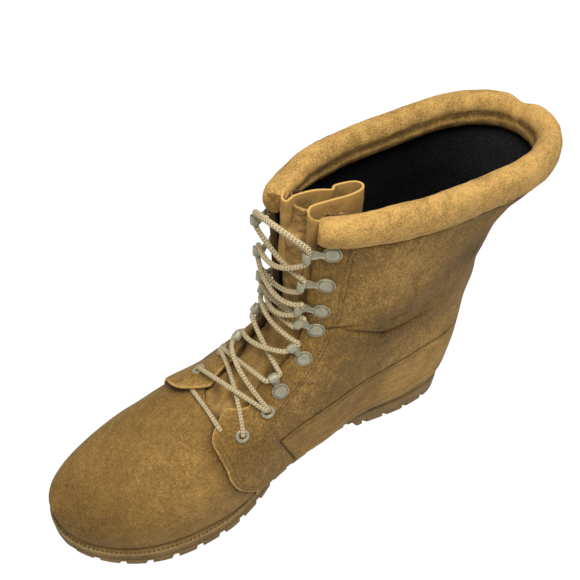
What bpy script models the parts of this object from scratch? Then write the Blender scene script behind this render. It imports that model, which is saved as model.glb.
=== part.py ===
"""Left combat boot, 8 inches high, in rough-out leather with a lugged rubber sole.

Metres. +X runs to the toe, +Y to the wearer's left, which is the outer side, and +Z up.
The origin is on the floor, at the middle of the heel's tread.
"""
import math

import bmesh
import bpy
import numpy as np
from mathutils import Matrix, Vector

# Driving sizes
SOLE_LENGTH = 0.332
HEEL_SEAT = 0.050
BALL_WIDTH = 0.104
HEEL_HEIGHT = 0.028
UPPER_HEIGHT = 0.200
WALL = 0.0026
OVERLAY = 0.0017
GAP = 0.0003
WELT_MARGIN = 0.005

# The last
BULGE = 0.003
BULGE_RISE = 0.012
TOE_ROUND = 0.26
TOE_SQUARE = 2.15
HEEL_ROUND = 0.036
HEEL_SQUARE = 2.2
VAMP_SQUARE = 2.35
VAMP_SLOPE = 0.40
THROAT_SIDE = 0.009
THROAT_HALF = 0.020
TWIST = 0.42

# Sole
WELT_THICK = 0.0035
WELT_WIDTH = 0.012
MIDSOLE_THICK = 0.005
MIDSOLE_STEP = 0.001
LUG_DEPTH = 0.0055
LUG_PITCH = 0.0185
LUG_GROOVE = 0.22
LUG_CUT = 0.009
LUG_INSET = 0.0008
LUG_CORE = 0.003
SOLE_SHEET = 0.0015  # rubber left above the lugs
GROOVE_SLOPE = 0.001
SOLE_STATIONS = 28
INSOLE_THICK = 0.004
INSOLE_CLEAR = 0.0032

# Collar
ROLL_HEIGHT = 0.024
ROLL_OUT = 0.0065
ROLL_IN = 0.0105
ROLL_SQUARE = 2.1
ROLL_SIDES = 9

# Tongue
TONGUE_THICK = 0.0022
TONGUE_CLEAR = 0.0012
TONGUE_HALF = 0.030
TONGUE_COLUMNS = 5
TONGUE_FOLDS = 2

# Hardware
DISC_RADIUS = 0.0052
DISC_THICK = 0.0014
ARM_WIDTH = 0.0046
ARM_THICK = 0.0010
LOOP_RADIUS = 0.0024
LOOP_LENGTH = 0.0068
LOOP_REACH = 0.0092
ARM_SINK = 0.0003
EYELET_RADIUS = 0.0049
EYELET_HOLE = 0.0023
EYELET_THICK = 0.0012
HARDWARE_SETBACK = 0.010
HARDWARE_CLEAR = 0.0007

# Lace
LACE_RADIUS = 0.0017
LACE_LIFT = 0.0064
LACE_SIDES = 5
LACE_CLEAR = 0.0004
LACE_LEAD = 0.0036
BAR_ANGLE = 24


def table(columns, rows):
    """A table as one array for each named column. A row starts with its name."""
    return {name: np.array([row[i + 1] for row in rows], float) for i, name in enumerate(columns.split())}


# half and side, the middle's place to the outer side, are shares of BALL_WIDTH, top is one of HEEL_HEIGHT,
# margin, the sole's beyond the feather line, one of WELT_MARGIN and bulge, the leather's above it, of BULGE.
FOOT = table("along half side top margin bulge", [
    ("heel back", 0.00, 0.340, 0.000, 1.00, 0.40, 1.00),
    ("heel seat", 0.15, 0.345, 0.015, 0.98, 0.20, 1.00),
    ("shank", 0.32, 0.312, -0.012, 0.90, 0.00, 2.00),
    ("waist", 0.44, 0.312, 0.004, 0.80, 0.00, 2.60),
    ("waist front", 0.53, 0.345, -0.008, 0.70, 0.00, 2.40),
    ("joint", 0.60, 0.410, -0.006, 0.64, 0.40, 1.60),
    ("ball", 0.70, 0.468, -0.010, 0.60, 0.80, 1.00),
    ("toe side", 0.85, 0.472, -0.045, 0.64, 1.00, 1.00),
    ("toe tip", 1.00, 0.460, -0.110, 0.80, 1.00, 1.00),
])
# Side view: along is a share of the length and up of UPPER_HEIGHT. low is a share of the length on the
# feather line, or below zero a share of the way up the back. throat is a share of THROAT_HALF.
SECTIONS = table("along up low widest square throat", [
    ("throat base", 0.582, 0.389, 0.582, 0.86, 2.35, 1.20),
    ("low instep", 0.538, 0.475, 0.480, 0.84, 2.30, 0.90),
    ("instep", 0.490, 0.571, 0.345, 0.78, 2.25, 0.85),
    ("bend", 0.468, 0.657, 0.190, 0.70, 2.20, 0.80),
    ("heel fan", 0.467, 0.690, 0.080, 0.62, 2.20, 0.80),
    ("heel corner", 0.467, 0.705, 0.025, 0.58, 2.20, 0.80),
    ("heel back", 0.467, 0.715, 0.000, 0.56, 2.20, 0.80),
    ("counter", 0.467, 0.725, -0.120, 0.54, 2.20, 0.80),
    ("counter top", 0.467, 0.745, -0.300, 0.52, 2.20, 0.80),
    ("ankle", 0.467, 0.780, -0.470, 0.50, 2.20, 0.80),
    ("shaft", 0.468, 0.855, -0.680, 0.50, 2.20, 0.85),
    ("shaft top", 0.469, 0.930, -0.860, 0.50, 2.20, 0.90),
    ("collar", 0.471, 1.000, -1.000, 0.50, 2.20, 1.00),
])
HEEL_ROW = 6
TOP_ROW = 12
# back is a share of the length behind the heel and round is the corner's radius. half and side, the
# middle's place to the outer side, are shares of BALL_WIDTH.
BACK_LINE = table("up back round half side", [
    ("feather", 0.00, 0.000, 0.036, 0.340, 0.000),
    ("counter", 0.10, -0.017, 0.040, 0.346, 0.004),
    ("counter top", 0.20, -0.027, 0.042, 0.337, 0.010),
    ("heel top", 0.35, -0.030, 0.044, 0.330, 0.018),
    ("ankle", 0.49, -0.028, 0.046, 0.337, 0.040),
    ("calf low", 0.65, -0.018, 0.050, 0.350, 0.080),
    ("calf", 0.83, -0.030, 0.056, 0.362, 0.122),
    ("under the roll", 0.94, -0.066, 0.060, 0.376, 0.160),
    ("collar", 1.00, -0.108, 0.062, 0.390, 0.190),
])
LEG_LOW = 0.10
LEG_RISE = 0.30
LEG_REACH = 0.060
# The tread, as heights above the floor in shares of HEEL_HEIGHT
TREAD = table("along up", [
    ("heel back", 0.00, 0.00),
    ("heel breast", 0.285, 0.00),
    ("breast top", 0.305, 0.30),
    ("arch", 0.36, 0.34),
    ("arch front", 0.46, 0.16),
    ("forefoot", 0.54, 0.00),
    ("flat end", 0.78, 0.00),
    ("toe", 0.90, 0.10),
    ("toe tip", 1.00, 0.28),
])

LENGTH = SOLE_LENGTH - 2 * WELT_MARGIN
BACK = WELT_MARGIN - HEEL_SEAT


def smooth(rows, key, column, at):
    """Monotone cubic through a column of a table."""
    x, y = rows[key], rows[column]
    h = np.diff(x)
    d = np.diff(y) / h
    m = np.zeros(len(x))
    m[0], m[-1] = d[0], d[-1]
    for i in range(1, len(x) - 1):
        if d[i - 1] * d[i] > 0:
            w1, w2 = 2 * h[i] + h[i - 1], h[i] + 2 * h[i - 1]
            m[i] = (w1 + w2) / (w1 / d[i - 1] + w2 / d[i])
    at = np.clip(np.asarray(at, float), x[0], x[-1])
    k = np.clip(np.searchsorted(x, at) - 1, 0, len(h) - 1)
    t = (at - x[k]) / h[k]
    return ((1 + 2 * t) * (1 - t) ** 2 * y[k] + t * (1 - t) ** 2 * h[k] * m[k]
            + t * t * (3 - 2 * t) * y[k + 1] + t * t * (t - 1) * h[k] * m[k + 1])


def rounded(t, square):
    """From 0 to 1 along a rounded corner."""
    t = np.clip(t, 0, 1)
    return (1 - (1 - t) ** square) ** (1 / square)


def step(t):
    t = np.clip(t, 0, 1)
    return t * t * (3 - 2 * t)


def at_share(along):
    return BACK + along * LENGTH


def share(x):
    return (x - BACK) / LENGTH


def sole_top(x):
    """Height of the feather line."""
    return HEEL_HEIGHT * smooth(FOOT, "along", "top", share(x))


def tread(x):
    """Height of the tread above the floor."""
    return HEEL_HEIGHT * smooth(TREAD, "along", "up", share(x))


def foot_half(x):
    return BALL_WIDTH * smooth(FOOT, "along", "half", share(x))


def foot_middle(x):
    return BALL_WIDTH * smooth(FOOT, "along", "side", share(x))


def bulge(x):
    return BULGE * smooth(FOOT, "along", "bulge", share(x))


def back_at(z):
    """The back line's place and its corner's radius at a height."""
    up = (z - HEEL_HEIGHT) / UPPER_HEIGHT
    return at_share(smooth(BACK_LINE, "up", "back", up)), smooth(BACK_LINE, "up", "round", up)


def feather(side, count=400):
    """One side of the feather line in plan, from the toe's tip to the heel's back."""
    x = BACK + LENGTH * (1 + np.cos(np.linspace(0, math.pi, count))) / 2
    toe = rounded((1 - share(x)) / TOE_ROUND, TOE_SQUARE)
    heel = rounded((x - BACK) / HEEL_ROUND, HEEL_SQUARE)
    y = foot_middle(x) + side * foot_half(x) * toe * heel
    return np.stack([x, y], 1)


PIVOT_X = at_share(SECTIONS["along"][0])
PIVOT_Y = THROAT_SIDE
PIVOT_Z = HEEL_HEIGHT + SECTIONS["up"][0] * UPPER_HEIGHT


def toe_radius(angle, side):
    """Distance from the throat's base to the feather line, along a line at an angle from straight ahead."""
    loop = np.concatenate([feather(-side)[::-1], feather(side)[1:]])
    loop = loop[loop[:, 0] > PIVOT_X - LEG_REACH / 2]
    dx, dy = loop[:, 0] - PIVOT_X, side * (loop[:, 1] - PIVOT_Y)
    return np.interp(angle, np.arctan2(dy, dx), np.hypot(dx, dy))


def toe_section(angle, side, count=160):
    """From the throat's base out over the toe and down to the feather line."""
    radius = toe_radius(angle, side)
    ahead = np.array([math.cos(angle), side * math.sin(angle)])
    foot = PIVOT_X + radius * ahead[0]
    low, out = sole_top(foot), bulge(foot)
    wide = low + BULGE_RISE
    over = np.linspace(0, math.pi / 2, count)
    r = (radius + out) * np.sin(over) ** (2 / VAMP_SQUARE)
    z = wide + (PIVOT_Z - VAMP_SLOPE * ahead[0] * r - wide) * np.cos(over) ** (2 / VAMP_SQUARE)
    under = np.linspace(0, math.pi / 2, 20)[1:]
    r = np.concatenate([r, radius + out * np.cos(under)])
    z = np.concatenate([z, wide - BULGE_RISE * np.sin(under)])
    return np.stack([PIVOT_X + r * ahead[0], PIVOT_Y + r * ahead[1], z], 1)


ROW = {"row": np.arange(len(SECTIONS["along"]), dtype=float), **SECTIONS}


def low_point(low):
    """Side view place of a section's low end."""
    if low >= 0:
        x = at_share(low)
        return x, float(sole_top(x))
    z = HEEL_HEIGHT - low * UPPER_HEIGHT
    return float(back_at(z)[0]), z


def leg_section(row, side, count=200):
    """From the crest of the instep or shaft round one side to the feather line or the back."""
    value = {name: float(smooth(ROW, "row", name, row)) for name in SECTIONS}
    top = at_share(value["along"]), HEEL_HEIGHT + value["up"] * UPPER_HEIGHT
    low = low_point(value["low"])
    s = (1 - np.cos(np.linspace(0, math.pi, count))) / 2
    x, z = top[0] + (low[0] - top[0]) * s, top[1] + (low[1] - top[1]) * s
    up = (z - HEEL_HEIGHT) / UPPER_HEIGHT
    back, radius = back_at(z)
    bend = np.where(s < value["widest"], rounded(s / value["widest"], value["square"]), 1.0)
    bend = bend * rounded((x - back) / radius, HEEL_SQUARE)
    leg = step((up - LEG_LOW) / LEG_RISE) * step((PIVOT_X - x) / LEG_REACH)
    rise = np.clip((z - sole_top(x)) / BULGE_RISE, 0, 1)
    belly = bulge(x) * np.sqrt(1 - (1 - rise) ** 2) * (1 - leg)
    half = foot_half(x) * (1 - leg) + BALL_WIDTH * smooth(BACK_LINE, "up", "half", up) * leg + belly
    middle = THROAT_SIDE * (1 - s) + BALL_WIDTH * smooth(BACK_LINE, "up", "side", up) * s
    y = middle + (foot_middle(x) - middle) * bend * (1 - leg) + side * half * bend
    turn = TWIST * step((up - LEG_RISE) / (1 - LEG_RISE)) * step(1.5 * (x - back) / LENGTH - 0.2)
    return np.stack([x - turn * (y - middle), y, z], 1)


def section(row, side):
    """Rows run from -1 at the toe, over 0 at the throat's base and the heel's back, to the top edge."""
    if row < 0:
        tip = math.atan2(feather(1)[0, 1] - PIVOT_Y, feather(1)[0, 0] - PIVOT_X)
        return toe_section(-row * tip * side + (1 + row) * math.pi / 2, side)
    return leg_section(row, side)


def along_curve(points, distances):
    """Points at distances along a curve."""
    run = np.concatenate([[0], np.cumsum(np.linalg.norm(np.diff(points, axis=0), axis=1))])
    return np.stack([np.interp(distances, run, points[:, k]) for k in range(3)], 1), run[-1]


def throat_at(row):
    return THROAT_HALF * float(smooth(ROW, "row", "throat", max(row, 0)))


# Stations of the upper's net: rows round the toe, then up the leg, and shares from the throat's edge down
TOE_ROWS = [-1 + k / 8 for k in range(8)]
LEG_ROWS = [0, 0.6, 1.2, 1.9, 2.6, 3.3, 4, 5, 6, 7.3, 8.6, 9.5, 10.4, 11.2, 12]
NET_ROWS = TOE_ROWS + LEG_ROWS
NET_SHARES = [0, 0.055, 0.12, 0.20, 0.30, 0.41, 0.52, 0.63, 0.73, 0.82, 0.90, 0.96, 1]
FLAP_ROW = TOE_ROWS[3]


def vertex_normals(points, faces):
    total = np.zeros_like(points)
    for face in faces:
        a, b, c = (points[i] for i in face)
        total[list(face)] += np.cross(b - a, c - a)
    return total / np.linalg.norm(total, axis=1)[:, None]


class Net:
    """The upper's outer surface as one net of quads, both sides joined at the toe and up the back."""

    def __init__(self):
        points, self.index, self.faces = [], {}, []
        for side in (1, -1):
            for r, row in enumerate(NET_ROWS):
                line = section(row, side)
                start = throat_at(row)
                length = along_curve(line, [0])[1]
                places = along_curve(line, start + np.array(NET_SHARES) * (length - start))[0]
                for c, place in enumerate(places):
                    seam = row == -1 or (row >= HEEL_ROW and c == len(NET_SHARES) - 1)
                    if side < 0 and seam:
                        self.index[side, r, c] = self.index[1, r, c]
                    else:
                        self.index[side, r, c] = len(points)
                        points.append(place)
        self.points = np.array(points)
        self.faces = self.patch(1) + self.patch(-1)
        self.normals = vertex_normals(self.points, self.faces)
        self.normals[[i for (_, r, _), i in self.index.items() if NET_ROWS[r] == TOP_ROW], 2] = 0
        self.normals /= np.linalg.norm(self.normals, axis=1)[:, None]

    def patch(self, side, first_row=-1):
        """The net of one side between two rows as triangles that face out."""
        triangles = []
        for r in range(len(NET_ROWS) - 1):
            if NET_ROWS[r] < first_row:
                continue
            for k in range(len(NET_SHARES) - 1):
                corners = [(r, k), (r, k + 1), (r + 1, k + 1), (r + 1, k)]
                if side < 0:
                    corners.reverse()
                a, b, c, d = (self.index[side, i, j] for i, j in corners)
                triangles += [(a, b, c), (a, c, d)]
        return triangles

    def lifted(self, lift):
        return self.points + self.normals * lift


def material(name, color, roughness, metallic=0.0):
    made = bpy.data.materials.new(name)
    made.use_nodes = True
    shader = made.node_tree.nodes["Principled BSDF"]
    shader.inputs["Base Color"].default_value = (*color, 1)
    shader.inputs["Roughness"].default_value = roughness
    shader.inputs["Metallic"].default_value = metallic
    made.diffuse_color = (*color, 1)
    return made


def add_object(name, mesh, finish):
    mesh.materials.clear()
    mesh.materials.append(finish)
    made = bpy.data.objects.new(name, mesh)
    bpy.context.collection.objects.link(made)
    mesh.shade_smooth()
    mesh.set_sharp_from_angle(angle=math.radians(35))
    return made


def mesh_of(name, points, faces):
    """A mesh without the points that no face uses."""
    used = sorted({i for face in faces for i in face})
    place = {old: new for new, old in enumerate(used)}
    mesh = bpy.data.meshes.new(name)
    mesh.from_pydata([tuple(points[i]) for i in used], [], [[place[i] for i in face] for face in faces])
    return mesh


def thick_sheet(name, inner, outer, faces, finish):
    """A closed wall between two surfaces that share their faces."""
    count = len(outer)
    edges = {}
    for face in faces:
        for a, b in zip(face, face[1:] + face[:1]):
            edges[a, b] = True
    rim = [(b, a, a + count, b + count) for a, b in edges if (b, a) not in edges]
    inside = [tuple(i + count for i in reversed(face)) for face in faces]
    points = np.concatenate([outer, inner])
    return add_object(name, mesh_of(name, points, faces + inside + rim), finish)


def rings(name, loops, finish, closed=False):
    """A solid through loops of as many points each, with flat ends or closed on itself."""
    count = len(loops[0])
    faces = []
    pairs = list(zip(range(len(loops)), range(1, len(loops))))
    if closed:
        pairs.append((len(loops) - 1, 0))
    for a, b in pairs:
        for i in range(count):
            j = (i + 1) % count
            faces.append((a * count + i, a * count + j, b * count + j, b * count + i))
    if not closed:
        faces.append(tuple(reversed(range(count))))
        faces.append(tuple(range((len(loops) - 1) * count, len(loops) * count)))
    points = np.concatenate([np.array(loop) for loop in loops])
    mesh = mesh_of(name, points, faces)
    face_out(mesh)
    return add_object(name, mesh, finish)


def face_out(mesh):
    """Turn a closed mesh's faces outwards, all as triangles."""
    work = bmesh.new()
    work.from_mesh(mesh)
    bmesh.ops.triangulate(work, faces=work.faces)
    bmesh.ops.recalc_face_normals(work, faces=work.faces)
    if work.calc_volume(signed=True) < 0:
        bmesh.ops.reverse_faces(work, faces=work.faces)
    work.to_mesh(mesh)
    work.free()


def combine(target, other, operation):
    """Cut or join two solids with an exact boolean, and drop the second."""
    modifier = target.modifiers.new("cut", "BOOLEAN")
    modifier.object = other
    modifier.operation = operation
    modifier.solver = "EXACT"
    bpy.context.view_layer.update()
    shape = target.evaluated_get(bpy.context.evaluated_depsgraph_get())
    mesh = bpy.data.meshes.new_from_object(shape)
    target.modifiers.clear()
    target.data = mesh
    bpy.data.objects.remove(other)
    return target


# Side view lines of the panels, as shares of the length and of UPPER_HEIGHT
FLAP_FRONT = [
    ("above", 0.700, 0.500),
    ("top", 0.677, 0.230),
    ("round", 0.674, 0.165),
    ("lower round", 0.655, 0.085),
    ("foot", 0.612, 0.000),
]
LOW_SEAM = [
    ("foot", 0.492, -0.020),
    ("point", 0.541, 0.193),
    ("waist", 0.342, 0.245),
    ("heel", 0.139, 0.271),
    ("back", 0.000, 0.271),
    ("behind", -0.200, 0.271),
]
SEAM_GROOVE = 0.0006
PANEL_STATIONS = 14
BACKSTAY_HALF = 0.021
BACKSTAY_TOP = 0.385


def side_view(line):
    return [(at_share(along), HEEL_HEIGHT + up * UPPER_HEIGHT) for _, along, up in line]


def prism(outline, low, high):
    """A cutter: a side view outline carried across from one y to another."""
    loops = [[(x, y, z) for x, z in outline] for y in (low, high)]
    return rings("cutter", loops, None)


REACH = 0.2
ABOVE = HEEL_HEIGHT + 2 * UPPER_HEIGHT


def above_welt(start, end):
    """Side view points just above the feather line, between its ends."""
    stations = np.linspace(start, end, PANEL_STATIONS)[1:-1]
    return [(x, float(sole_top(x)) + GAP) for x in stations]


def build_panels(net, leather, webbing):
    """Quarters, foxings and the backstay: all cut from one sheet that lies on the upper."""
    inner, outer = net.lifted(GAP), net.lifted(GAP + OVERLAY)
    seam = side_view(LOW_SEAM)
    back_x = BACK - REACH
    flap = side_view(FLAP_FRONT)
    quarter_line = flap + above_welt(flap[-1][0], seam[0][0] + SEAM_GROOVE)
    quarter_line += [(x + SEAM_GROOVE, z + SEAM_GROOVE) for x, z in seam] + [(back_x, ABOVE), (PIVOT_X + REACH, ABOVE)]
    foxing_line = seam + above_welt(seam[-1][0], seam[0][0])
    stay_top = HEEL_HEIGHT + BACKSTAY_TOP * UPPER_HEIGHT
    made = []
    for side, word in ((1, "outer"), (-1, "inner")):
        middle = [net.index[side, r, len(NET_SHARES) - 1] for r, row in enumerate(NET_ROWS) if row >= HEEL_ROW]
        pulled = [surface.copy() for surface in (inner, outer)]
        for surface in pulled:
            surface[middle, 1] += side * GAP
        for name, line in (("quarter_" + word, quarter_line), ("foxing_" + word, foxing_line)):
            sheet = thick_sheet(name, *pulled, net.patch(side, first_row=FLAP_ROW), leather)
            combine(sheet, prism(line, -REACH, REACH), "INTERSECT")
            behind = [(back_x, -ABOVE), (0, -ABOVE), (0, stay_top + GAP), (back_x, stay_top + GAP)]
            edge = BACKSTAY_HALF + SEAM_GROOVE
            made.append(combine(sheet, prism(behind, -edge, edge), "DIFFERENCE"))
    stay = thick_sheet("backstay", inner, outer, net.patch(1, first_row=4) + net.patch(-1, first_row=4), webbing)
    behind = above_welt(back_x, 0) + [(0, stay_top), (back_x, stay_top)]
    made.append(combine(stay, prism(behind, -BACKSTAY_HALF, BACKSTAY_HALF), "INTERSECT"))
    return made


def sole_margin(x):
    return WELT_MARGIN * smooth(FOOT, "along", "margin", share(x))


def edge_side(side, out, shares, margin=True):
    """Points beside shares of one side of the feather line, from toe to heel: the sole's edge moved by out."""
    line = feather(side)
    loop = np.concatenate([feather(-side)[5:0:-1], line, feather(-side)[-2:-7:-1]])
    ahead = np.gradient(loop, axis=0)[5:-5]
    across = np.stack([ahead[:, 1], -ahead[:, 0]], 1) * side
    across /= np.linalg.norm(across, axis=1)[:, None]
    run = np.concatenate([[0], np.cumsum(np.linalg.norm(np.diff(line, axis=0), axis=1))])
    at = np.array(shares) * run[-1]
    out = out + np.interp(at, run, sole_margin(line[:, 0])) * margin
    x, y, dx, dy = (np.interp(at, run, values) for values in (*line.T, *across.T))
    return np.stack([x + dx * out, y + dy * out], 1)


def sole_loop(out, shares, margin=True):
    """A plan loop round the sole: down the outer side from the toe and back up the inner one."""
    return np.concatenate([edge_side(1, out, shares, margin), edge_side(-1, out, shares, margin)[-2:0:-1]])


def belt(first, second, first_turns, second_turns):
    """Triangles between two loops, each given by its first point's number and the turns of its points and end."""
    faces, i, j = [], 0, 0
    count, other = len(first_turns) - 1, len(second_turns) - 1
    while i < count or j < other:
        here = first + i % count, second + j % other
        if j == other or (i < count and first_turns[i + 1] <= second_turns[j + 1]):
            i += 1
            faces.append((*here, first + i % count))
        else:
            j += 1
            faces.append((*here, second + j % other))
    return faces


def plate(name, layers, finish, turns=None):
    """A solid through loops that lie over each other; its top and bottom are bridged across the middle."""
    starts = np.cumsum([0] + [len(loop) for loop in layers])
    turns = turns or [range(len(loop) + 1) for loop in layers]
    faces = []
    for k in range(len(layers) - 1):
        faces += belt(starts[k], starts[k + 1], turns[k], turns[k + 1])
    for k in (0, len(layers) - 1):
        count = len(layers[k])
        for i in range(count // 2):
            corners = dict.fromkeys((i, i + 1, count - i - 1, (count - i) % count))
            faces.append(tuple(starts[k] + c for c in corners))
    mesh = mesh_of(name, np.concatenate(layers), faces)
    face_out(mesh)
    return add_object(name, mesh, finish)


def at_height(loop, height):
    """A plan loop given a height that depends on x."""
    return np.stack([loop[:, 0], loop[:, 1], height(loop[:, 0])], 1)


def welt_top(x):
    return sole_top(x) - GAP


def welt_low(x):
    return welt_top(x) - WELT_THICK


def midsole_top(x):
    return welt_low(x) - GAP


def midsole_low(x):
    return midsole_top(x) - MIDSOLE_THICK


def build_sole(rubber, edge_rubber, welt_leather, footbed):
    shares = np.linspace(0, 1, SOLE_STATIONS)
    wide, narrow = sole_loop(0, shares), sole_loop(-WELT_WIDTH, shares)
    corners = [at_height(wide, welt_top), at_height(wide, welt_low),
               at_height(narrow, welt_low), at_height(narrow, welt_top)]
    rings("welt", [[ring[i] for ring in corners] for i in range(len(wide))], welt_leather, closed=True)

    edge = sole_loop(-MIDSOLE_STEP, shares)
    plate("midsole", [at_height(edge, midsole_low), at_height(edge, midsole_top)], edge_rubber)

    core, bed = sole_loop(-WELT_WIDTH - GAP, shares), sole_loop(-WALL - INSOLE_CLEAR, shares, False)
    plate("insole", [at_height(core, lambda x: midsole_top(x) + GAP), at_height(core, lambda x: sole_top(x) + GAP),
                     at_height(bed, lambda x: sole_top(x) + GAP),
                     at_height(bed, lambda x: sole_top(x) + INSOLE_THICK)], footbed)
    build_outsole(rubber)


def build_outsole(rubber):
    """The outsole with its edge cut into lugs by grooves. Turns run from 0 at the toe over 1 at the heel to 2."""
    side = edge_side(1, 0, np.linspace(0, 1, 100))
    lugs = round(np.linalg.norm(np.diff(side, axis=0), axis=1).sum() / LUG_PITCH)
    shares, grooved = [0.0], [True]
    for lug in range(lugs):
        start, end = (lug + LUG_GROOVE / 2) / lugs, (lug + 1 - LUG_GROOVE / 2) / lugs
        shares += [start - GROOVE_SLOPE, start, end, end + GROOVE_SLOPE]
        grooved += [True, False, False, True]
    shares.append(1.0)
    grooved.append(True)
    grooved = np.array(grooved + grooved[-2:0:-1])[:, None]
    toothed = np.where(grooved, sole_loop(-LUG_CUT, shares), sole_loop(-LUG_INSET, shares))
    top = lambda x: midsole_low(x) - GAP
    lugs_top = lambda x: np.minimum(tread(x) + LUG_DEPTH, top(x) - SOLE_SHEET)
    even = np.linspace(0, 1, 2 * lugs + 1)
    full, core = sole_loop(0, even), sole_loop(-LUG_CUT - LUG_CORE, even)
    fine = np.concatenate([shares, 2 - np.array(shares[-2::-1])])
    # The core's points change at a lug's near edge and in the middle of a groove, the rim's at a lug's far edge
    core_turns, rim_turns = (np.arange(4 * lugs + 1) / (2 * lugs) for _ in range(2))
    core_turns[1::2] -= (1 - LUG_GROOVE) / (2 * lugs)
    rim_turns[2::2] -= LUG_GROOVE / (2 * lugs) - GROOVE_SLOPE / 2
    plate("outsole", [at_height(core, tread), at_height(toothed, tread), at_height(toothed, lugs_top),
                      at_height(full, lugs_top), at_height(full, top)], rubber,
          [core_turns, fine, fine, rim_turns, rim_turns])


def build_collar(net, suede):
    """The padded roll: an oval section carried round the upper's top edge, with closed ends."""
    last = len(NET_ROWS) - 1
    ids = [net.index[1, last, c] for c in range(len(NET_SHARES))]
    ids += [net.index[-1, last, c] for c in range(len(NET_SHARES) - 2, -1, -1)]
    path, normals = net.points[ids], net.normals[ids].copy()
    normals[:, 2] = 0
    normals /= np.linalg.norm(normals, axis=1)[:, None]
    loops = []
    for place, out in zip(path, normals):
        loop = []
        for turn in np.linspace(0, 2 * math.pi, ROLL_SIDES, endpoint=False):
            c, s = math.cos(turn), math.sin(turn)
            wide = math.copysign(abs(c) ** (2 / ROLL_SQUARE), c)
            tall = math.copysign(abs(s) ** (2 / ROLL_SQUARE), s)
            middle, half = (ROLL_OUT - ROLL_IN) / 2, (ROLL_OUT + ROLL_IN) / 2
            height = GAP + ROLL_HEIGHT / 2 * (1 + tall)
            loop.append(place + out * (middle + half * wide) + np.array([0, 0, height]))
        loops.append(loop)
    return rings("collar", loops, suede)


def over_crest(row, across):
    """A point of the outer surface at a distance across from the crest, outward above zero."""
    side = 1 if across >= 0 else -1
    return along_curve(section(row, side), [abs(across)])[0][0]


def surface_frame(row, across):
    """Place, normal and direction towards the throat, for a point of the leg's surface or of the vamp."""
    place = over_crest(row, across)
    toward = over_crest(row, across - math.copysign(0.001, across)) - place
    up_throat = over_crest(row + 0.05, across) - over_crest(row - 0.05, across)
    normal = np.cross(up_throat, toward) * math.copysign(1, across)
    normal /= np.linalg.norm(normal)
    toward -= normal * (toward @ normal)
    toward /= np.linalg.norm(toward)
    return place, normal, toward


def build_tongue(leather):
    """A thick sheet under the throat that leads in below the vamp; its top stands up in folds."""
    across = np.linspace(-1, 1, 2 * TONGUE_COLUMNS + 1)
    inner, outer = [], []
    for name, row, rise, inset, fold in TONGUE:
        for a in across:
            if row < 0:
                angle = math.atan2(abs(a), -row)
                distance = math.hypot(a * TONGUE_HALF, row * TONGUE_HALF)
                side = 1 if a >= 0 else -1
                near, place, far = along_curve(toe_section(angle, side), distance + np.array([-0.001, 0, 0.001]))[0]
                ahead = far - near
                normal = np.array([-ahead[2] * ahead[0], -ahead[2] * ahead[1], ahead[0] ** 2 + ahead[1] ** 2])
                normal /= np.linalg.norm(normal)
            else:
                width = a * TONGUE_HALF if a else 1e-5
                place, normal, _ = surface_frame(row, width)
            wave = fold * 0.5 * (1 - math.cos(2 * math.pi * TONGUE_FOLDS * (a + 1) / 2))
            depth = WALL + TONGUE_CLEAR + inset - wave
            lift = np.array([0, 0, rise])
            outer.append(place - normal * depth + lift)
            inner.append(place - normal * (depth + TONGUE_THICK) + lift)
    count = len(across)
    faces = []
    for r in range(len(TONGUE) - 1):
        for c in range(count - 1):
            a, b = r * count + c, (r + 1) * count + c
            faces += [(a, a + 1, b + 1), (a, b + 1, b)]
    made = thick_sheet("tongue", np.array(inner), np.array(outer), faces, leather)
    face_out(made.data)
    return made


# The tongue from its lead under the vamp to its top. Below zero, row is the lead as a share of TONGUE_HALF
# ahead of the throat's base; rise, inset and fold are lengths beyond the upper's own surface.
TONGUE = [
    ("lead", -1.10, 0.0, 0.0, 0.0),
    ("lead middle", -0.60, 0.0, 0.0, 0.0),
    ("throat base", 0.0, 0.0, 0.0, 0.0),
    ("low instep", 1.0, 0.0, 0.0, 0.0),
    ("instep", 1.8, 0.0, 0.0, 0.0),
    ("bend", 2.8, 0.0, 0.0, 0.0),
    ("ankle", 4.0, 0.0, 0.0006, 0.0),
    ("shaft foot", 8.0, 0.0, 0.0004, 0.0),
    ("shaft", 9.2, 0.0, 0.0, 0.0),
    ("shaft middle", 10.2, 0.0, 0.0005, 0.0),
    ("shaft top", 11.2, 0.0, 0.0025, 0.001),
    ("collar foot", 12.0, -0.002, 0.0105, 0.003),
    ("collar middle", 12.0, 0.012, 0.0120, 0.005),
    ("top", 12.0, 0.025, 0.0125, 0.006),
]

# Hooks and eyelets: row is the place up the throat, setback is the distance from the throat's edge
FASTENERS = [
    ("eyelet_1", -0.27),
    ("eyelet_2", 0.50),
    ("hook_1", 1.15),
    ("hook_2", 2.20),
    ("hook_3", 4.00),
    ("hook_4", 8.40),
    ("hook_5", 10.10),
    ("hook_6", 11.75),
]


def frame_matrix(place, normal, toward):
    up_throat = np.cross(normal, toward)
    matrix = Matrix.Identity(4)
    for k, axis in enumerate((toward, up_throat, normal, place)):
        matrix.col[k][:3] = [float(v) for v in axis]
    return matrix


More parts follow.
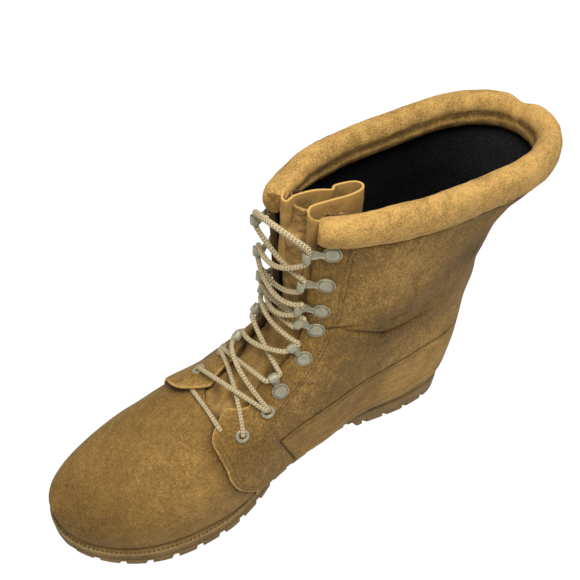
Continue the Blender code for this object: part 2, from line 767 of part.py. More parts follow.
def hook_mesh(metal):
    """A rivet disc with an arm that curls up into a loop open towards the disc."""
    disc = []
    for radius, height in ((DISC_RADIUS, 0), (DISC_RADIUS, DISC_THICK * 0.6), (DISC_RADIUS * 0.8, DISC_THICK)):
        disc.append([(radius * math.cos(a), radius * math.sin(a), height)
                     for a in np.linspace(0, 2 * math.pi, 11, endpoint=False)])
    body = rings("hook", disc, metal)
    middle = LOOP_RADIUS + ARM_THICK
    turns = np.radians(np.linspace(-90, 150, 6))
    profile = [(0, ARM_SINK)]
    profile += [(LOOP_REACH + middle * math.cos(t), ARM_SINK + middle * (1 + math.sin(t))) for t in turns]
    profile += [(LOOP_REACH + LOOP_RADIUS * math.cos(t), ARM_SINK + middle + LOOP_RADIUS * math.sin(t))
                for t in turns[::-1]]
    profile.append((0, ARM_SINK + ARM_THICK))
    strip = prism(profile, -LOOP_LENGTH / 2, LOOP_LENGTH / 2)
    combine(body, strip, "UNION")
    mesh = body.data
    bpy.data.objects.remove(body)
    return mesh


def eyelet_mesh(metal):
    loops = []
    for a in np.linspace(0, 2 * math.pi, 14, endpoint=False):
        loops.append([(r * math.cos(a), r * math.sin(a), h) for r, h in
                      ((EYELET_HOLE, 0), (EYELET_RADIUS, 0), (EYELET_RADIUS * 0.8, EYELET_THICK),
                       (EYELET_HOLE, EYELET_THICK))])
    ring = rings("eyelet", loops, metal, closed=True)
    mesh = ring.data
    bpy.data.objects.remove(ring)
    return mesh


def build_hardware(metal):
    """Both rows of eyelets and hooks. Returns where each one holds the lace."""
    meshes = {"eyelet": eyelet_mesh(metal), "hook": hook_mesh(metal)}
    seats = []
    for name, row in FASTENERS:
        pair = []
        for side, word in ((1, "outer"), (-1, "inner")):
            place, normal, toward = surface_frame(row, side * (throat_at(row) + HARDWARE_SETBACK))
            place = place + normal * (OVERLAY + HARDWARE_CLEAR)
            kind, number = name.split("_")
            made = bpy.data.objects.new(f"{kind}_{word}_{number}", meshes[kind])
            made.matrix_world = frame_matrix(place, normal, toward)
            bpy.context.collection.objects.link(made)
            up_throat = np.cross(normal, toward)
            up_throat *= math.copysign(1, up_throat[2])
            if kind == "hook":
                middle = place + toward * LOOP_REACH + normal * (ARM_SINK + ARM_THICK + LOOP_RADIUS)
                reach = LOOP_LENGTH / 2 + LACE_CLEAR
            else:
                middle = place + normal * (EYELET_THICK + LACE_CLEAR)
                reach = LACE_RADIUS + LACE_CLEAR
            ends = []
            for way in (-1, 1):
                end = middle + way * up_throat * reach
                ends.append((end, end + LACE_LEAD * (way * up_throat if kind == "hook" else normal)))
            pair.append(ends)
        seats.append(pair)
    return seats


def tube(name, points, radius, finish):
    """A round bar through points, with flat ends."""
    points = np.array(points)
    ahead = np.gradient(points, axis=0)
    ahead /= np.linalg.norm(ahead, axis=1)[:, None]
    side = np.cross(ahead[0], (0, 0, 1))
    loops = []
    for place, along in zip(points, ahead):
        side = side - along * (side @ along)
        side /= np.linalg.norm(side)
        other = np.cross(along, side)
        loops.append([place + radius * (math.cos(a) * side + math.sin(a) * other)
                      for a in np.linspace(0, 2 * math.pi, LACE_SIDES, endpoint=False)])
    return rings(name, loops, finish)


def arch(start, end, top, count=6):
    """A strand between two seats, each an end and the point it leads to, over a top point."""
    t = np.linspace(0, 1, count)[:, None]
    low, high = start[1], end[1]
    over = low * (1 - t) + high * t + (top - (low + high) / 2) * np.sin(math.pi * t) ** 0.65
    return np.concatenate([[start[0]], over, [end[0]]])


def build_lace(seats, cord):
    """Crossings between the rows, the bar at the throat's foot and the slack strands at the top."""
    for k in range(len(FASTENERS) - 1):
        row = (FASTENERS[k][1] + FASTENERS[k + 1][1]) / 2
        crest, normal, _ = surface_frame(max(row, 0), 1e-5)
        top = crest + normal * LACE_LIFT
        low, high = seats[k], seats[k + 1]
        first = tube(f"lace_cross_{k + 1}", arch(low[0][1], high[1][0], top), LACE_RADIUS, cord)
        combine(first, tube("strand", arch(low[1][1], high[0][0], top), LACE_RADIUS, cord), "UNION")
    crest, normal, _ = surface_frame(TOP_ROW - 0.2, 1e-5)
    outer, inner = seats[-1]
    top = crest + normal * LACE_LIFT
    first = tube("lace_top", arch(outer[1], inner[1], top), LACE_RADIUS, cord)
    bar = []
    for angle in np.radians(np.linspace(-BAR_ANGLE, BAR_ANGLE, 7)):
        side = 1 if angle >= 0 else -1
        line = toe_section(abs(angle), side)
        distance = (THROAT_HALF * SECTIONS["throat"][0] + LACE_RADIUS) / math.cos(angle)
        here, beyond = along_curve(line, [distance, distance + 0.001])[0]
        ahead = beyond - here
        normal = np.array([-ahead[2] * ahead[0], -ahead[2] * ahead[1], ahead[0] ** 2 + ahead[1] ** 2])
        bar.append(here + normal / np.linalg.norm(normal) * (LACE_RADIUS + LACE_CLEAR))
    tube("lace_bar", bar, LACE_RADIUS, cord)


def main():
    for old in list(bpy.data.objects):
        bpy.data.objects.remove(old)
    suede = material("suede", (0.36, 0.22, 0.09), 0.95)
    smooth_leather = material("smooth leather", (0.30, 0.18, 0.07), 0.7)
    webbing = material("webbing", (0.22, 0.15, 0.07), 0.9)
    inside_leather = material("tongue leather", (0.45, 0.30, 0.14), 0.9)
    rubber = material("rubber", (0.17, 0.12, 0.05), 0.8)
    edge_rubber = material("midsole rubber", (0.22, 0.16, 0.07), 0.8)
    footbed = material("footbed", (0.02, 0.02, 0.022), 0.95)
    metal = material("painted metal", (0.42, 0.38, 0.28), 0.45, 0.3)
    cord = material("lace", (0.50, 0.40, 0.25), 0.9)
    net = Net()
    thick_sheet("upper", net.lifted(-WALL), net.points, net.faces, suede)
    build_panels(net, suede, webbing)
    build_collar(net, suede)
    build_tongue(inside_leather)
    build_sole(rubber, edge_rubber, smooth_leather, footbed)
    build_lace(build_hardware(metal), cord)


main()
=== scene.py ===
"""Looks of the left combat boot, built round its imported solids.

Metres. +X runs to the toe, +Y to the outer side and +Z up. The stage shows the photo's view on plain white.
"""
import math

import bpy
import numpy as np
from bpy.props import FloatProperty, FloatVectorProperty, PointerProperty
from bpy.types import Operator, Panel, PropertyGroup
from mathutils import Matrix, Vector, noise


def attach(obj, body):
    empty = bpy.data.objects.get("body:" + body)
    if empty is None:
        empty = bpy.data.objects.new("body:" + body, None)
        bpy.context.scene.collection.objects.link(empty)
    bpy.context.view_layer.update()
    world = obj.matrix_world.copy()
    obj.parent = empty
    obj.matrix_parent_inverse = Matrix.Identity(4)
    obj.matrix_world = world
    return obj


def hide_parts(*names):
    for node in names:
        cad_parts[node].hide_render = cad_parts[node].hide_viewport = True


bl_info = {
    "name": "Combat boot looks",
    "version": (1, 0, 0),
    "blender": (4, 5, 0),
    "location": "3D View > Sidebar > Combat Boot",
    "description": "Builds the detailed suede boot, its lace and hardware, the sole, the stage and the camera",
    "category": "Add Mesh",
}

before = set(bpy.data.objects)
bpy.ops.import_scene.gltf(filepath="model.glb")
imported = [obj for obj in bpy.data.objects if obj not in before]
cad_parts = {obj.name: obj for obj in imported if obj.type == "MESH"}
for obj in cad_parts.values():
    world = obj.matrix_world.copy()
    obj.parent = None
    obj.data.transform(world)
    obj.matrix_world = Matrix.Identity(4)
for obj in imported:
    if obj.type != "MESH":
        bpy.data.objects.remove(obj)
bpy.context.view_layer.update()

# Driving sizes, the same as the solids'
SOLE_LENGTH = 0.332
HEEL_SEAT = 0.050
BALL_WIDTH = 0.104
HEEL_HEIGHT = 0.028
UPPER_HEIGHT = 0.200
WALL = 0.0026
OVERLAY = 0.0017
GAP = 0.0003
WELT_MARGIN = 0.005
LENGTH = SOLE_LENGTH - 2 * WELT_MARGIN
BACK = WELT_MARGIN - HEEL_SEAT
MM = 0.001

# The last
BULGE = 0.003
BULGE_RISE = 0.012
TOE_ROUND = 0.26
TOE_SQUARE = 2.15
HEEL_ROUND = 0.036
HEEL_SQUARE = 2.2
VAMP_SQUARE = 2.35
VAMP_SLOPE = 0.40
THROAT_SIDE = 0.009
THROAT_HALF = 0.020
TWIST = 0.42

# Sole
WELT_THICK = 0.0035
WELT_WIDTH = 0.012
MIDSOLE_THICK = 0.005
MIDSOLE_STEP = 0.001
LUG_DEPTH = 0.0055
LUG_PITCH = 0.0185
LUG_GROOVE = 0.22
LUG_CUT = 0.009
INSOLE_THICK = 0.004

# Flaps: how far they reach over the throat's foot, the row of their front corner and where one turns up
FLAP_LAP = 0.0075
FLAP_ROW = -0.625
FLAP_CORNER = (0.176, -0.022)
CORNER_RISE = 0.0070
SEAM_GAP = 0.0004
ROUND_CORNER = 0.006

# Collar: the outer seam and the inner fold lie at heights from -1 to 1 of the roll, ROLL_FALL is how much
# lower its ends are and PINCH where it is pinched, as a share of its run
ROLL_HEIGHT = 0.024
ROLL_OUT = 0.0065
ROLL_IN = 0.0105
ROLL_FINE = 36
ROLL_STEP = 0.0016
SEAM_UP = -0.80
FOLD_UP = 0.05
ROLL_FALL = 0.28
PINCH = 0.52
LINING_BACK = 0.012

# Tongue: half its width under the vamp and in the throat
TONGUE_THIN = 0.0014
TONGUE_CLEAR = 0.0012
TONGUE_HALF = 0.030
TONGUE_LOOK = 0.035

# Hardware and lace
DISC_RADIUS = 0.0052
DISC_THICK = 0.0014
ARM_THICK = 0.0010
ARM_NARROW = 0.0019
ARM_SINK = 0.0003
LOOP_RADIUS = 0.0024
LOOP_LENGTH = 0.0068
HOOK_REACH = 0.0138
EYELET_RADIUS = 0.0049
EYELET_HOLE = 0.0023
EYELET_THICK = 0.0012
HARDWARE_SETBACK = 0.010
HARDWARE_CLEAR = 0.0007
LACE_RADIUS = 0.0017
LACE_THIN = 0.00165
LACE_LIFT = 0.0064
LACE_CLEAR = 0.0004
LACE_STEP = 0.0011

# Stitch rows: from the throat's edge, from the flap's front edge between two heights, and below the low seam
THROAT_STITCHES = (0.0200, 0.0230)
FLAP_STITCHES = (0.0022, 0.0050)
FLAP_STITCH_HEIGHTS = (0.032, 0.088)
SEAM_STITCHES = 0.0042

# Stage: each light's name, place, size and power, and the camera's azimuth, height and roll in degrees
LIGHTS = [
    ("key light", (0.15, 0.30, 1.25), 0.7, 16.0),
    ("fill light", (0.9, -0.3, 0.8), 1.0, 2.5),
    ("back light", (-0.8, -0.2, 0.9), 0.9, 2.5),
]
LIGHT_AIM = (0.08, 0, 0.1)
WORLD_LIGHT = 0.24
FLOOR_HALF = 1.6
FLOOR_DROP = 0.0002
FLOOR_GLOW = 0.95
CAMERA_LENS = 50.0811
CAMERA_ANGLES = (144.8429, 48.7665, 1.8157)
CAMERA_PLACE = (0.29265, 0.28058, 0.55610)


def table(columns, rows):
    """A table as one array for each named column. A row starts with its name."""
    return {name: np.array([row[i + 1] for row in rows], float) for i, name in enumerate(columns.split())}


# half and side, the middle's place to the outer side, are shares of BALL_WIDTH, top is one of HEEL_HEIGHT,
# margin, the sole's beyond the feather line, one of WELT_MARGIN and bulge, the leather's above it, of BULGE.
FOOT = table("along half side top margin bulge", [
    ("heel back", 0.00, 0.340, 0.000, 1.00, 0.40, 1.00),
    ("heel seat", 0.15, 0.345, 0.015, 0.98, 0.20, 1.00),
    ("shank", 0.32, 0.312, -0.012, 0.90, 0.00, 2.00),
    ("waist", 0.44, 0.312, 0.004, 0.80, 0.00, 2.60),
    ("waist front", 0.53, 0.345, -0.008, 0.70, 0.00, 2.40),
    ("joint", 0.60, 0.410, -0.006, 0.64, 0.40, 1.60),
    ("ball", 0.70, 0.468, -0.010, 0.60, 0.80, 1.00),
    ("toe side", 0.85, 0.472, -0.045, 0.64, 1.00, 1.00),
    ("toe tip", 1.00, 0.460, -0.110, 0.80, 1.00, 1.00),
])
# Side view: along is a share of the length and up of UPPER_HEIGHT. low is a share of the length on the
# feather line, or below zero a share of the way up the back. throat is a share of THROAT_HALF.
SECTIONS = table("along up low widest square throat", [
    ("throat base", 0.582, 0.389, 0.582, 0.86, 2.35, 1.20),
    ("low instep", 0.538, 0.475, 0.480, 0.84, 2.30, 0.90),
    ("instep", 0.490, 0.571, 0.345, 0.78, 2.25, 0.85),
    ("bend", 0.468, 0.657, 0.190, 0.70, 2.20, 0.80),
    ("heel fan", 0.467, 0.690, 0.080, 0.62, 2.20, 0.80),
    ("heel corner", 0.467, 0.705, 0.025, 0.58, 2.20, 0.80),
    ("heel back", 0.467, 0.715, 0.000, 0.56, 2.20, 0.80),
    ("counter", 0.467, 0.725, -0.120, 0.54, 2.20, 0.80),
    ("counter top", 0.467, 0.745, -0.300, 0.52, 2.20, 0.80),
    ("ankle", 0.467, 0.780, -0.470, 0.50, 2.20, 0.80),
    ("shaft", 0.468, 0.855, -0.680, 0.50, 2.20, 0.85),
    ("shaft top", 0.469, 0.930, -0.860, 0.50, 2.20, 0.90),
    ("collar", 0.471, 1.000, -1.000, 0.50, 2.20, 1.00),
])
HEEL_ROW = 6
TOP_ROW = 12
# back is a share of the length behind the heel and round is the corner's radius. half and side, the
# middle's place to the outer side, are shares of BALL_WIDTH.
BACK_LINE = table("up back round half side", [
    ("feather", 0.00, 0.000, 0.036, 0.340, 0.000),
    ("counter", 0.10, -0.017, 0.040, 0.346, 0.004),
    ("counter top", 0.20, -0.027, 0.042, 0.337, 0.010),
    ("heel top", 0.35, -0.030, 0.044, 0.330, 0.018),
    ("ankle", 0.49, -0.028, 0.046, 0.337, 0.040),
    ("calf low", 0.65, -0.018, 0.050, 0.350, 0.080),
    ("calf", 0.83, -0.030, 0.056, 0.362, 0.122),
    ("under the roll", 0.94, -0.066, 0.060, 0.376, 0.160),
    ("collar", 1.00, -0.108, 0.062, 0.390, 0.190),
])
LEG_LOW = 0.10
LEG_RISE = 0.30
LEG_REACH = 0.060
# The tread, as heights above the floor in shares of HEEL_HEIGHT
TREAD = table("along up", [
    ("heel back", 0.00, 0.00),
    ("heel breast", 0.285, 0.00),
    ("breast top", 0.305, 0.30),
    ("arch", 0.36, 0.34),
    ("arch front", 0.46, 0.16),
    ("forefoot", 0.54, 0.00),
    ("flat end", 0.78, 0.00),
    ("toe", 0.90, 0.10),
    ("toe tip", 1.00, 0.28),
])


def smooth(rows, key, column, at):
    """Monotone cubic through a column of a table."""
    x, y = rows[key], rows[column]
    h = np.diff(x)
    d = np.diff(y) / h
    m = np.zeros(len(x))
    m[0], m[-1] = d[0], d[-1]
    for i in range(1, len(x) - 1):
        if d[i - 1] * d[i] > 0:
            w1, w2 = 2 * h[i] + h[i - 1], h[i] + 2 * h[i - 1]
            m[i] = (w1 + w2) / (w1 / d[i - 1] + w2 / d[i])
    at = np.clip(np.asarray(at, float), x[0], x[-1])
    k = np.clip(np.searchsorted(x, at) - 1, 0, len(h) - 1)
    t = (at - x[k]) / h[k]
    return ((1 + 2 * t) * (1 - t) ** 2 * y[k] + t * (1 - t) ** 2 * h[k] * m[k]
            + t * t * (3 - 2 * t) * y[k + 1] + t * t * (t - 1) * h[k] * m[k + 1])


def rounded(t, square):
    """From 0 to 1 along a rounded corner."""
    t = np.clip(t, 0, 1)
    return (1 - (1 - t) ** square) ** (1 / square)


def step(t):
    t = np.clip(t, 0, 1)
    return t * t * (3 - 2 * t)


def run_of(points):
    """Distance run along a path, at each of its points."""
    return np.concatenate([[0], np.cumsum(np.linalg.norm(np.diff(points, axis=0), axis=1))])


def at_runs(points, run, distances):
    """Points at distances along a path whose run is known."""
    return np.stack([np.interp(distances, run, column) for column in points.T], 1)


def unit(rows):
    """Directions made one long."""
    return rows / np.linalg.norm(rows, axis=1)[:, None]


def full_turn(count):
    """Equal angles once round."""
    return np.linspace(0, 2 * math.pi, count, endpoint=False)


def squarer(value, power):
    """A sine or cosine pushed out towards a square."""
    return math.copysign(abs(value) ** power, value)


def wander(x, y=0.0, z=0.0):
    """Smooth noise at a place, between -1 and 1."""
    return noise.noise(Vector((x, y, z)))


def net(rows, count):
    """Triangles of a grid of points."""
    row, place = np.meshgrid(np.arange(rows - 1), np.arange(count - 1), indexing="ij")
    a = (row * count + place).ravel()
    return np.concatenate([np.stack([a, a + 1, a + count + 1], 1), np.stack([a, a + count + 1, a + count], 1)])


def at_share(along):
    return BACK + along * LENGTH


def share(x):
    return (x - BACK) / LENGTH


def sole_top(x):
    """Height of the feather line."""
    return HEEL_HEIGHT * smooth(FOOT, "along", "top", share(x))


def tread(x):
    """Height of the tread above the floor."""
    return HEEL_HEIGHT * smooth(TREAD, "along", "up", share(x))


def foot_half(x):
    return BALL_WIDTH * smooth(FOOT, "along", "half", share(x))


def foot_middle(x):
    return BALL_WIDTH * smooth(FOOT, "along", "side", share(x))


def bulge(x):
    return BULGE * smooth(FOOT, "along", "bulge", share(x))


def back_at(z):
    """The back line's place and its corner's radius at a height."""
    up = (z - HEEL_HEIGHT) / UPPER_HEIGHT
    return at_share(smooth(BACK_LINE, "up", "back", up)), smooth(BACK_LINE, "up", "round", up)


def feather(side, count=400):
    """One side of the feather line in plan, from the toe's tip to the heel's back."""
    x = BACK + LENGTH * (1 + np.cos(np.linspace(0, math.pi, count))) / 2
    toe = rounded((1 - share(x)) / TOE_ROUND, TOE_SQUARE)
    heel = rounded((x - BACK) / HEEL_ROUND, HEEL_SQUARE)
    y = foot_middle(x) + side * foot_half(x) * toe * heel
    return np.stack([x, y], 1)


PIVOT_X = at_share(SECTIONS["along"][0])
PIVOT_Y = THROAT_SIDE
PIVOT_Z = HEEL_HEIGHT + SECTIONS["up"][0] * UPPER_HEIGHT


def toe_radius(angle, side):
    """Distance from the throat's base to the feather line, along a line at an angle from straight ahead."""
    loop = np.concatenate([feather(-side)[::-1], feather(side)[1:]])
    loop = loop[loop[:, 0] > PIVOT_X - LEG_REACH / 2]
    dx, dy = loop[:, 0] - PIVOT_X, side * (loop[:, 1] - PIVOT_Y)
    return np.interp(angle, np.arctan2(dy, dx), np.hypot(dx, dy))


def toe_section(angle, side, count=160):
    """From the throat's base out over the toe and down to the feather line."""
    radius = toe_radius(angle, side)
    ahead = np.array([math.cos(angle), side * math.sin(angle)])
    foot = PIVOT_X + radius * ahead[0]
    low, out = sole_top(foot), bulge(foot)
    wide = low + BULGE_RISE
    over = np.linspace(0, math.pi / 2, count)
    r = (radius + out) * np.sin(over) ** (2 / VAMP_SQUARE)
    z = wide + (PIVOT_Z - VAMP_SLOPE * ahead[0] * r - wide) * np.cos(over) ** (2 / VAMP_SQUARE)
    under = np.linspace(0, math.pi / 2, 20)[1:]
    r = np.concatenate([r, radius + out * np.cos(under)])
    z = np.concatenate([z, wide - BULGE_RISE * np.sin(under)])
    return np.stack([PIVOT_X + r * ahead[0], PIVOT_Y + r * ahead[1], z], 1)


ROW = {"row": np.arange(len(SECTIONS["along"]), dtype=float), **SECTIONS}


def low_point(low):
    """Side view place of a section's low end."""
    if low >= 0:
        x = at_share(low)
        return x, float(sole_top(x))
    z = HEEL_HEIGHT - low * UPPER_HEIGHT
    return float(back_at(z)[0]), z


def leg_section(row, side, count=200):
    """From the crest of the instep or shaft round one side to the feather line or the back."""
    value = {name: float(smooth(ROW, "row", name, row)) for name in SECTIONS}
    top = at_share(value["along"]), HEEL_HEIGHT + value["up"] * UPPER_HEIGHT
    low = low_point(value["low"])
    s = (1 - np.cos(np.linspace(0, math.pi, count))) / 2
    x, z = top[0] + (low[0] - top[0]) * s, top[1] + (low[1] - top[1]) * s
    up = (z - HEEL_HEIGHT) / UPPER_HEIGHT
    back, radius = back_at(z)
    bend = np.where(s < value["widest"], rounded(s / value["widest"], value["square"]), 1.0)
    bend = bend * rounded((x - back) / radius, HEEL_SQUARE)
    leg = step((up - LEG_LOW) / LEG_RISE) * step((PIVOT_X - x) / LEG_REACH)
    rise = np.clip((z - sole_top(x)) / BULGE_RISE, 0, 1)
    belly = bulge(x) * np.sqrt(1 - (1 - rise) ** 2) * (1 - leg)
    half = foot_half(x) * (1 - leg) + BALL_WIDTH * smooth(BACK_LINE, "up", "half", up) * leg + belly
    middle = THROAT_SIDE * (1 - s) + BALL_WIDTH * smooth(BACK_LINE, "up", "side", up) * s
    y = middle + (foot_middle(x) - middle) * bend * (1 - leg) + side * half * bend
    turn = TWIST * step((up - LEG_RISE) / (1 - LEG_RISE)) * step(1.5 * (x - back) / LENGTH - 0.2)
    return np.stack([x - turn * (y - middle), y, z], 1)


def section(row, side):
    """Rows run from -1 at the toe, over 0 at the throat's base and the heel's back, to the top edge."""
    if row < 0:
        tip = math.atan2(feather(1)[0, 1] - PIVOT_Y, feather(1)[0, 0] - PIVOT_X)
        return toe_section(-row * tip * side + (1 + row) * math.pi / 2, side)
    return leg_section(row, side)


def along_curve(points, distances):
    """Points at distances along a curve, and its length."""
    run = run_of(points)
    return at_runs(points, run, distances), run[-1]


def throat_at(row):
    return THROAT_HALF * float(smooth(ROW, "row", "throat", max(row, 0)))


# Side view lines of the flaps' front edge and of the low seam, as shares of the length and of UPPER_HEIGHT
FLAP_FRONT = [
    ("above", 0.700, 0.500),
    ("top", 0.677, 0.230),
    ("round", 0.674, 0.165),
    ("lower round", 0.655, 0.085),
    ("foot", 0.612, 0.000),
]
LOW_SEAM = [
    ("foot", 0.492, -0.020),
    ("point", 0.541, 0.193),
    ("waist", 0.342, 0.245),
    ("heel", 0.139, 0.271),
    ("back", 0.000, 0.271),
    ("behind", -0.200, 0.271),
]
BACKSTAY_HALF = 0.021
BACKSTAY_TOP = 0.385


def over_crest(row, across):
    """A point of the outer surface at a distance across from the crest, outward above zero."""
    side = 1 if across >= 0 else -1
    return along_curve(section(row, side), [abs(across)])[0][0]


def surface_frame(row, across):
    """Place, normal and direction towards the throat, for a point of the leg's surface or of the vamp."""
    place = over_crest(row, across)
    toward = over_crest(row, across - math.copysign(0.001, across)) - place
    up_throat = over_crest(row + 0.05, across) - over_crest(row - 0.05, across)
    normal = np.cross(up_throat, toward) * math.copysign(1, across)
    normal /= np.linalg.norm(normal)
    toward -= normal * (toward @ normal)
    toward /= np.linalg.norm(toward)
    return place, normal, toward


# Eyelets and hooks from the foot of the throat to its top, each with its row
FASTENERS = [
    ("eyelet_1", -0.27),
    ("eyelet_2", 0.50),
    ("hook_1", 1.15),
    ("hook_2", 2.20),
    ("hook_3", 4.00),
    ("hook_4", 8.40),
    ("hook_5", 10.10),
    ("hook_6", 11.75),
]


def sole_margin(x):
    return WELT_MARGIN * smooth(FOOT, "along", "margin", share(x))


def edge_side(side, out, shares, margin=True):
    """Points at shares of one side of the sole's edge, from toe to heel, or of the feather line's."""
    line = feather(side)
    loop = np.concatenate([feather(-side)[5:0:-1], line, feather(-side)[-2:-7:-1]])
    ahead = np.gradient(loop, axis=0)[5:-5]
    across = np.stack([ahead[:, 1], -ahead[:, 0]], 1) * side
    out = out + sole_margin(line[:, 0]) * margin
    line = line + unit(across) * out[:, None]
    run = run_of(line)
    return at_runs(line, run, np.array(shares) * run[-1])


def sole_loop(out, shares, margin=True):
    """A plan loop round the sole: down the outer side from the toe and back up the inner one."""
    return np.concatenate([edge_side(1, out, shares, margin), edge_side(-1, out, shares, margin)[-2:0:-1]])


def at_height(loop, height):
    """A plan loop given a height that depends on x."""
    return np.stack([loop[:, 0], loop[:, 1], height(loop[:, 0])], 1)


def welt_top(x):
    return sole_top(x) - GAP


def welt_low(x):
    return welt_top(x) - WELT_THICK


def midsole_top(x):
    return welt_low(x) - GAP


def midsole_low(x):
    return midsole_top(x) - MIDSOLE_THICK


# Fine stations: rows round the toe, up the foot, round the heel and up the leg, and shares down each side
TOE_COUNT, FOOT_COUNT, FAN_COUNT, LEG_COUNT, SHARE_COUNT = 64, 56, 24, 84, 76
# Soft troughs in the leather, in millimetres in side view. Each runs from one end over a middle to the other.
# side is 1 for the outer side, -1 for the inner one and 0 for both.
CREASES = table("side x1 z1 x2 z2 x3 z3 width depth", [
    ("ankle, front", 1, 100, 150, 84, 158, 66, 152, 2.6, 1.9),
    ("ankle, middle", 1, 80, 152, 60, 142, 40, 128, 3.2, 2.6),
    ("ankle, back", 1, 62, 136, 36, 128, 4, 132, 4.2, 2.5),
    ("ankle, low", 1, 92, 128, 70, 118, 46, 120, 3.6, 1.1),
    ("instep, upper", 1, 118, 116, 104, 106, 88, 102, 3.0, 0.9),
    ("shaft, front", 1, 76, 200, 62, 178, 60, 158, 4.5, 1.0),
    ("shaft, middle", 1, 40, 214, 30, 188, 34, 164, 9.0, 1.2),
    ("shaft, back", 1, -4, 200, -14, 176, -10, 150, 8.0, 1.0),
    ("heel top", 1, 0, 112, -20, 104, -36, 108, 5.0, 0.9),
    ("ankle, short", 1, 52, 150, 40, 146, 26, 150, 3.0, 1.0),
    ("ankle, behind", 1, 30, 142, 10, 146, -12, 142, 3.6, 1.0),
    ("counter top", 1, 40, 112, 16, 108, -14, 116, 3.4, 0.8),
    ("ankle, inner", -1, 96, 150, 60, 140, 20, 136, 5.5, 1.6),
    ("ankle, inner low", -1, 80, 124, 50, 116, 20, 122, 6.5, 1.1),
    ("shaft, inner", -1, 60, 200, 40, 180, 44, 156, 8.0, 1.2),
    ("vamp, outer", 1, 196, 60, 184, 70, 176, 84, 5.0, 0.5),
    ("vamp, inner", -1, 200, 58, 186, 70, 180, 82, 5.0, 0.6),
])
# Lighter and darker patches: centre and radius in millimetres, how much lighter or darker. The two dark ones at
# the ankle lie on its creases and are painted crease shade.
PATCHES = table("x y z radius amount", [
    ("toe top", 236, -6, 70, 36, 0.06),
    ("toe front, dark", 262, 6, 40, 34, -0.20),
    ("vamp, dark", 200, -20, 76, 30, -0.05),
    ("vamp, outer", 186, 44, 58, 26, 0.08),
    ("flap front", 160, 40, 70, 22, -0.10),
    ("shaft front, outer", 62, 46, 206, 30, 0.04),
    ("shaft middle, outer", 30, 48, 196, 34, 0.06),
    ("shaft back, dark", -24, 46, 176, 36, -0.20),
    ("ankle, dark", 40, 46, 134, 24, -0.20),
    ("ankle back, dark", 8, 46, 130, 22, -0.14),
    ("heel, outer", 6, 44, 70, 36, 0.12),
    ("quarter low, dark", 70, 46, 92, 26, -0.10),
])


def fine_rows():
    parts = [(-1, 0, TOE_COUNT), (0, 4, FOOT_COUNT), (4, HEEL_ROW, FAN_COUNT)]
    rows = [np.linspace(a, b, n, endpoint=False) for a, b, n in parts]
    return np.concatenate(rows + [np.linspace(HEEL_ROW, TOP_ROW, LEG_COUNT)])


def face_normals(points, faces):
    a, b, c = (points[faces[:, k]] for k in range(3))
    return np.cross(b - a, c - a)


def point_normals(points, faces):
    total = np.zeros_like(points)
    across = face_normals(points, faces)
    for k in range(3):
        np.add.at(total, faces[:, k], across)
    return total / np.maximum(np.linalg.norm(total, axis=1), 1e-12)[:, None]


def bezier(row, count=24):
    """Side view points along one row of a table with three corners, in metres."""
    t = np.linspace(0, 1, count)[:, None]
    a, b, c = (np.array(row[k:k + 2]) * MM for k in (0, 2, 4))
    return a * (1 - t) ** 2 + 2 * b * t * (1 - t) + c * t ** 2


def creases(points, side):
    """How far the leather stands in or out at points: the creases, and a slow unevenness."""
    out = np.zeros(len(points))
    flat = points[:, (0, 2)]
    for k in range(len(CREASES["side"])):
        row = [CREASES[name][k] for name in CREASES]
        line = bezier(row[1:7])
        gap = np.linalg.norm(flat[:, None] - line[None], axis=2)
        near = gap.argmin(1)
        width = row[7] * MM
        u = gap[np.arange(len(gap)), near] / width
        ends = np.sin(math.pi * np.clip((near + 0.5) / len(line), 0.06, 0.94)) ** 0.7
        here = np.where(row[0] == 0, 1.0, side == row[0])
        out -= here * ends * row[8] * MM * (1 - 1.1 * u ** 2) * np.exp(-u ** 2)
    slow = np.array([noise.noise(Vector(p) * 22) + 0.5 * noise.noise(Vector(p) * 55 + Vector((3, 1, 2)))
                     for p in points])
    leg = step((points[:, 2] - 0.085) / 0.05)
    return out + slow * (0.0003 + 0.0011 * leg)


def lap(row):
    """How far the flaps reach over the throat's opening near its base."""
    return FLAP_LAP * float(step((row + 0.80) / 0.14) * (1 - step((row - 0.2) / 1.8)))


class Skin:
    """The upper's outer surface as a fine net. data holds place, normal and what COLUMN names.

    edge is the distance from the net's own edge and reach the one from the throat's edge.
    """

    def __init__(self):
        rows, shares = fine_rows(), np.linspace(0, 1, SHARE_COUNT)
        points, marks, lefts, self.grid, count = [], [], [], {}, 0
        for side in (1, -1):
            grid = np.zeros((len(rows), len(shares)), int)
            for r, row in enumerate(rows):
                if side < 0 and row == -1:
                    grid[r] = self.grid[1][r]
                    continue
                line = section(row, side)
                start, length = throat_at(row) - lap(row), along_curve(line, [0])[1]
                reach = start + shares * (length - start)
                keep = len(shares) - (side < 0 and row >= HEEL_ROW)
                grid[r] = self.grid[1][r, -1] if side < 0 else 0
                grid[r, :keep] = count + np.arange(keep)
                count += keep
                lefts.append(length - reach[:keep])
                points.append(along_curve(line, reach[:keep])[0])
                marks.append(np.stack([np.full(keep, float(side)), np.full(keep, row), reach[:keep] - start,
                                       reach[:keep] - throat_at(row)], 1))
            self.grid[side] = grid
        points, marks, self.left = np.concatenate(points), np.concatenate(marks), np.concatenate(lefts)
        self.faces = np.concatenate([self.patch(side) for side in (1, -1)])
        self.smooth = points
        normals = point_normals(points, self.faces)
        rim = marks[:, 1] == TOP_ROW
        moved = points + normals * (creases(points, marks[:, 0]) * np.where(rim, 0.3, 1))[:, None]
        normals = point_normals(moved, self.faces)
        self.data = np.concatenate([moved, normals, marks], 1)

    def patch(self, side):
        g = self.grid[side]
        a, b, c, d = g[:-1, :-1].ravel(), g[:-1, 1:].ravel(), g[1:, 1:].ravel(), g[1:, :-1].ravel()
        if side < 0:
            b, d = d, b
        return np.concatenate([np.stack([a, b, c], 1), np.stack([a, c, d], 1)])


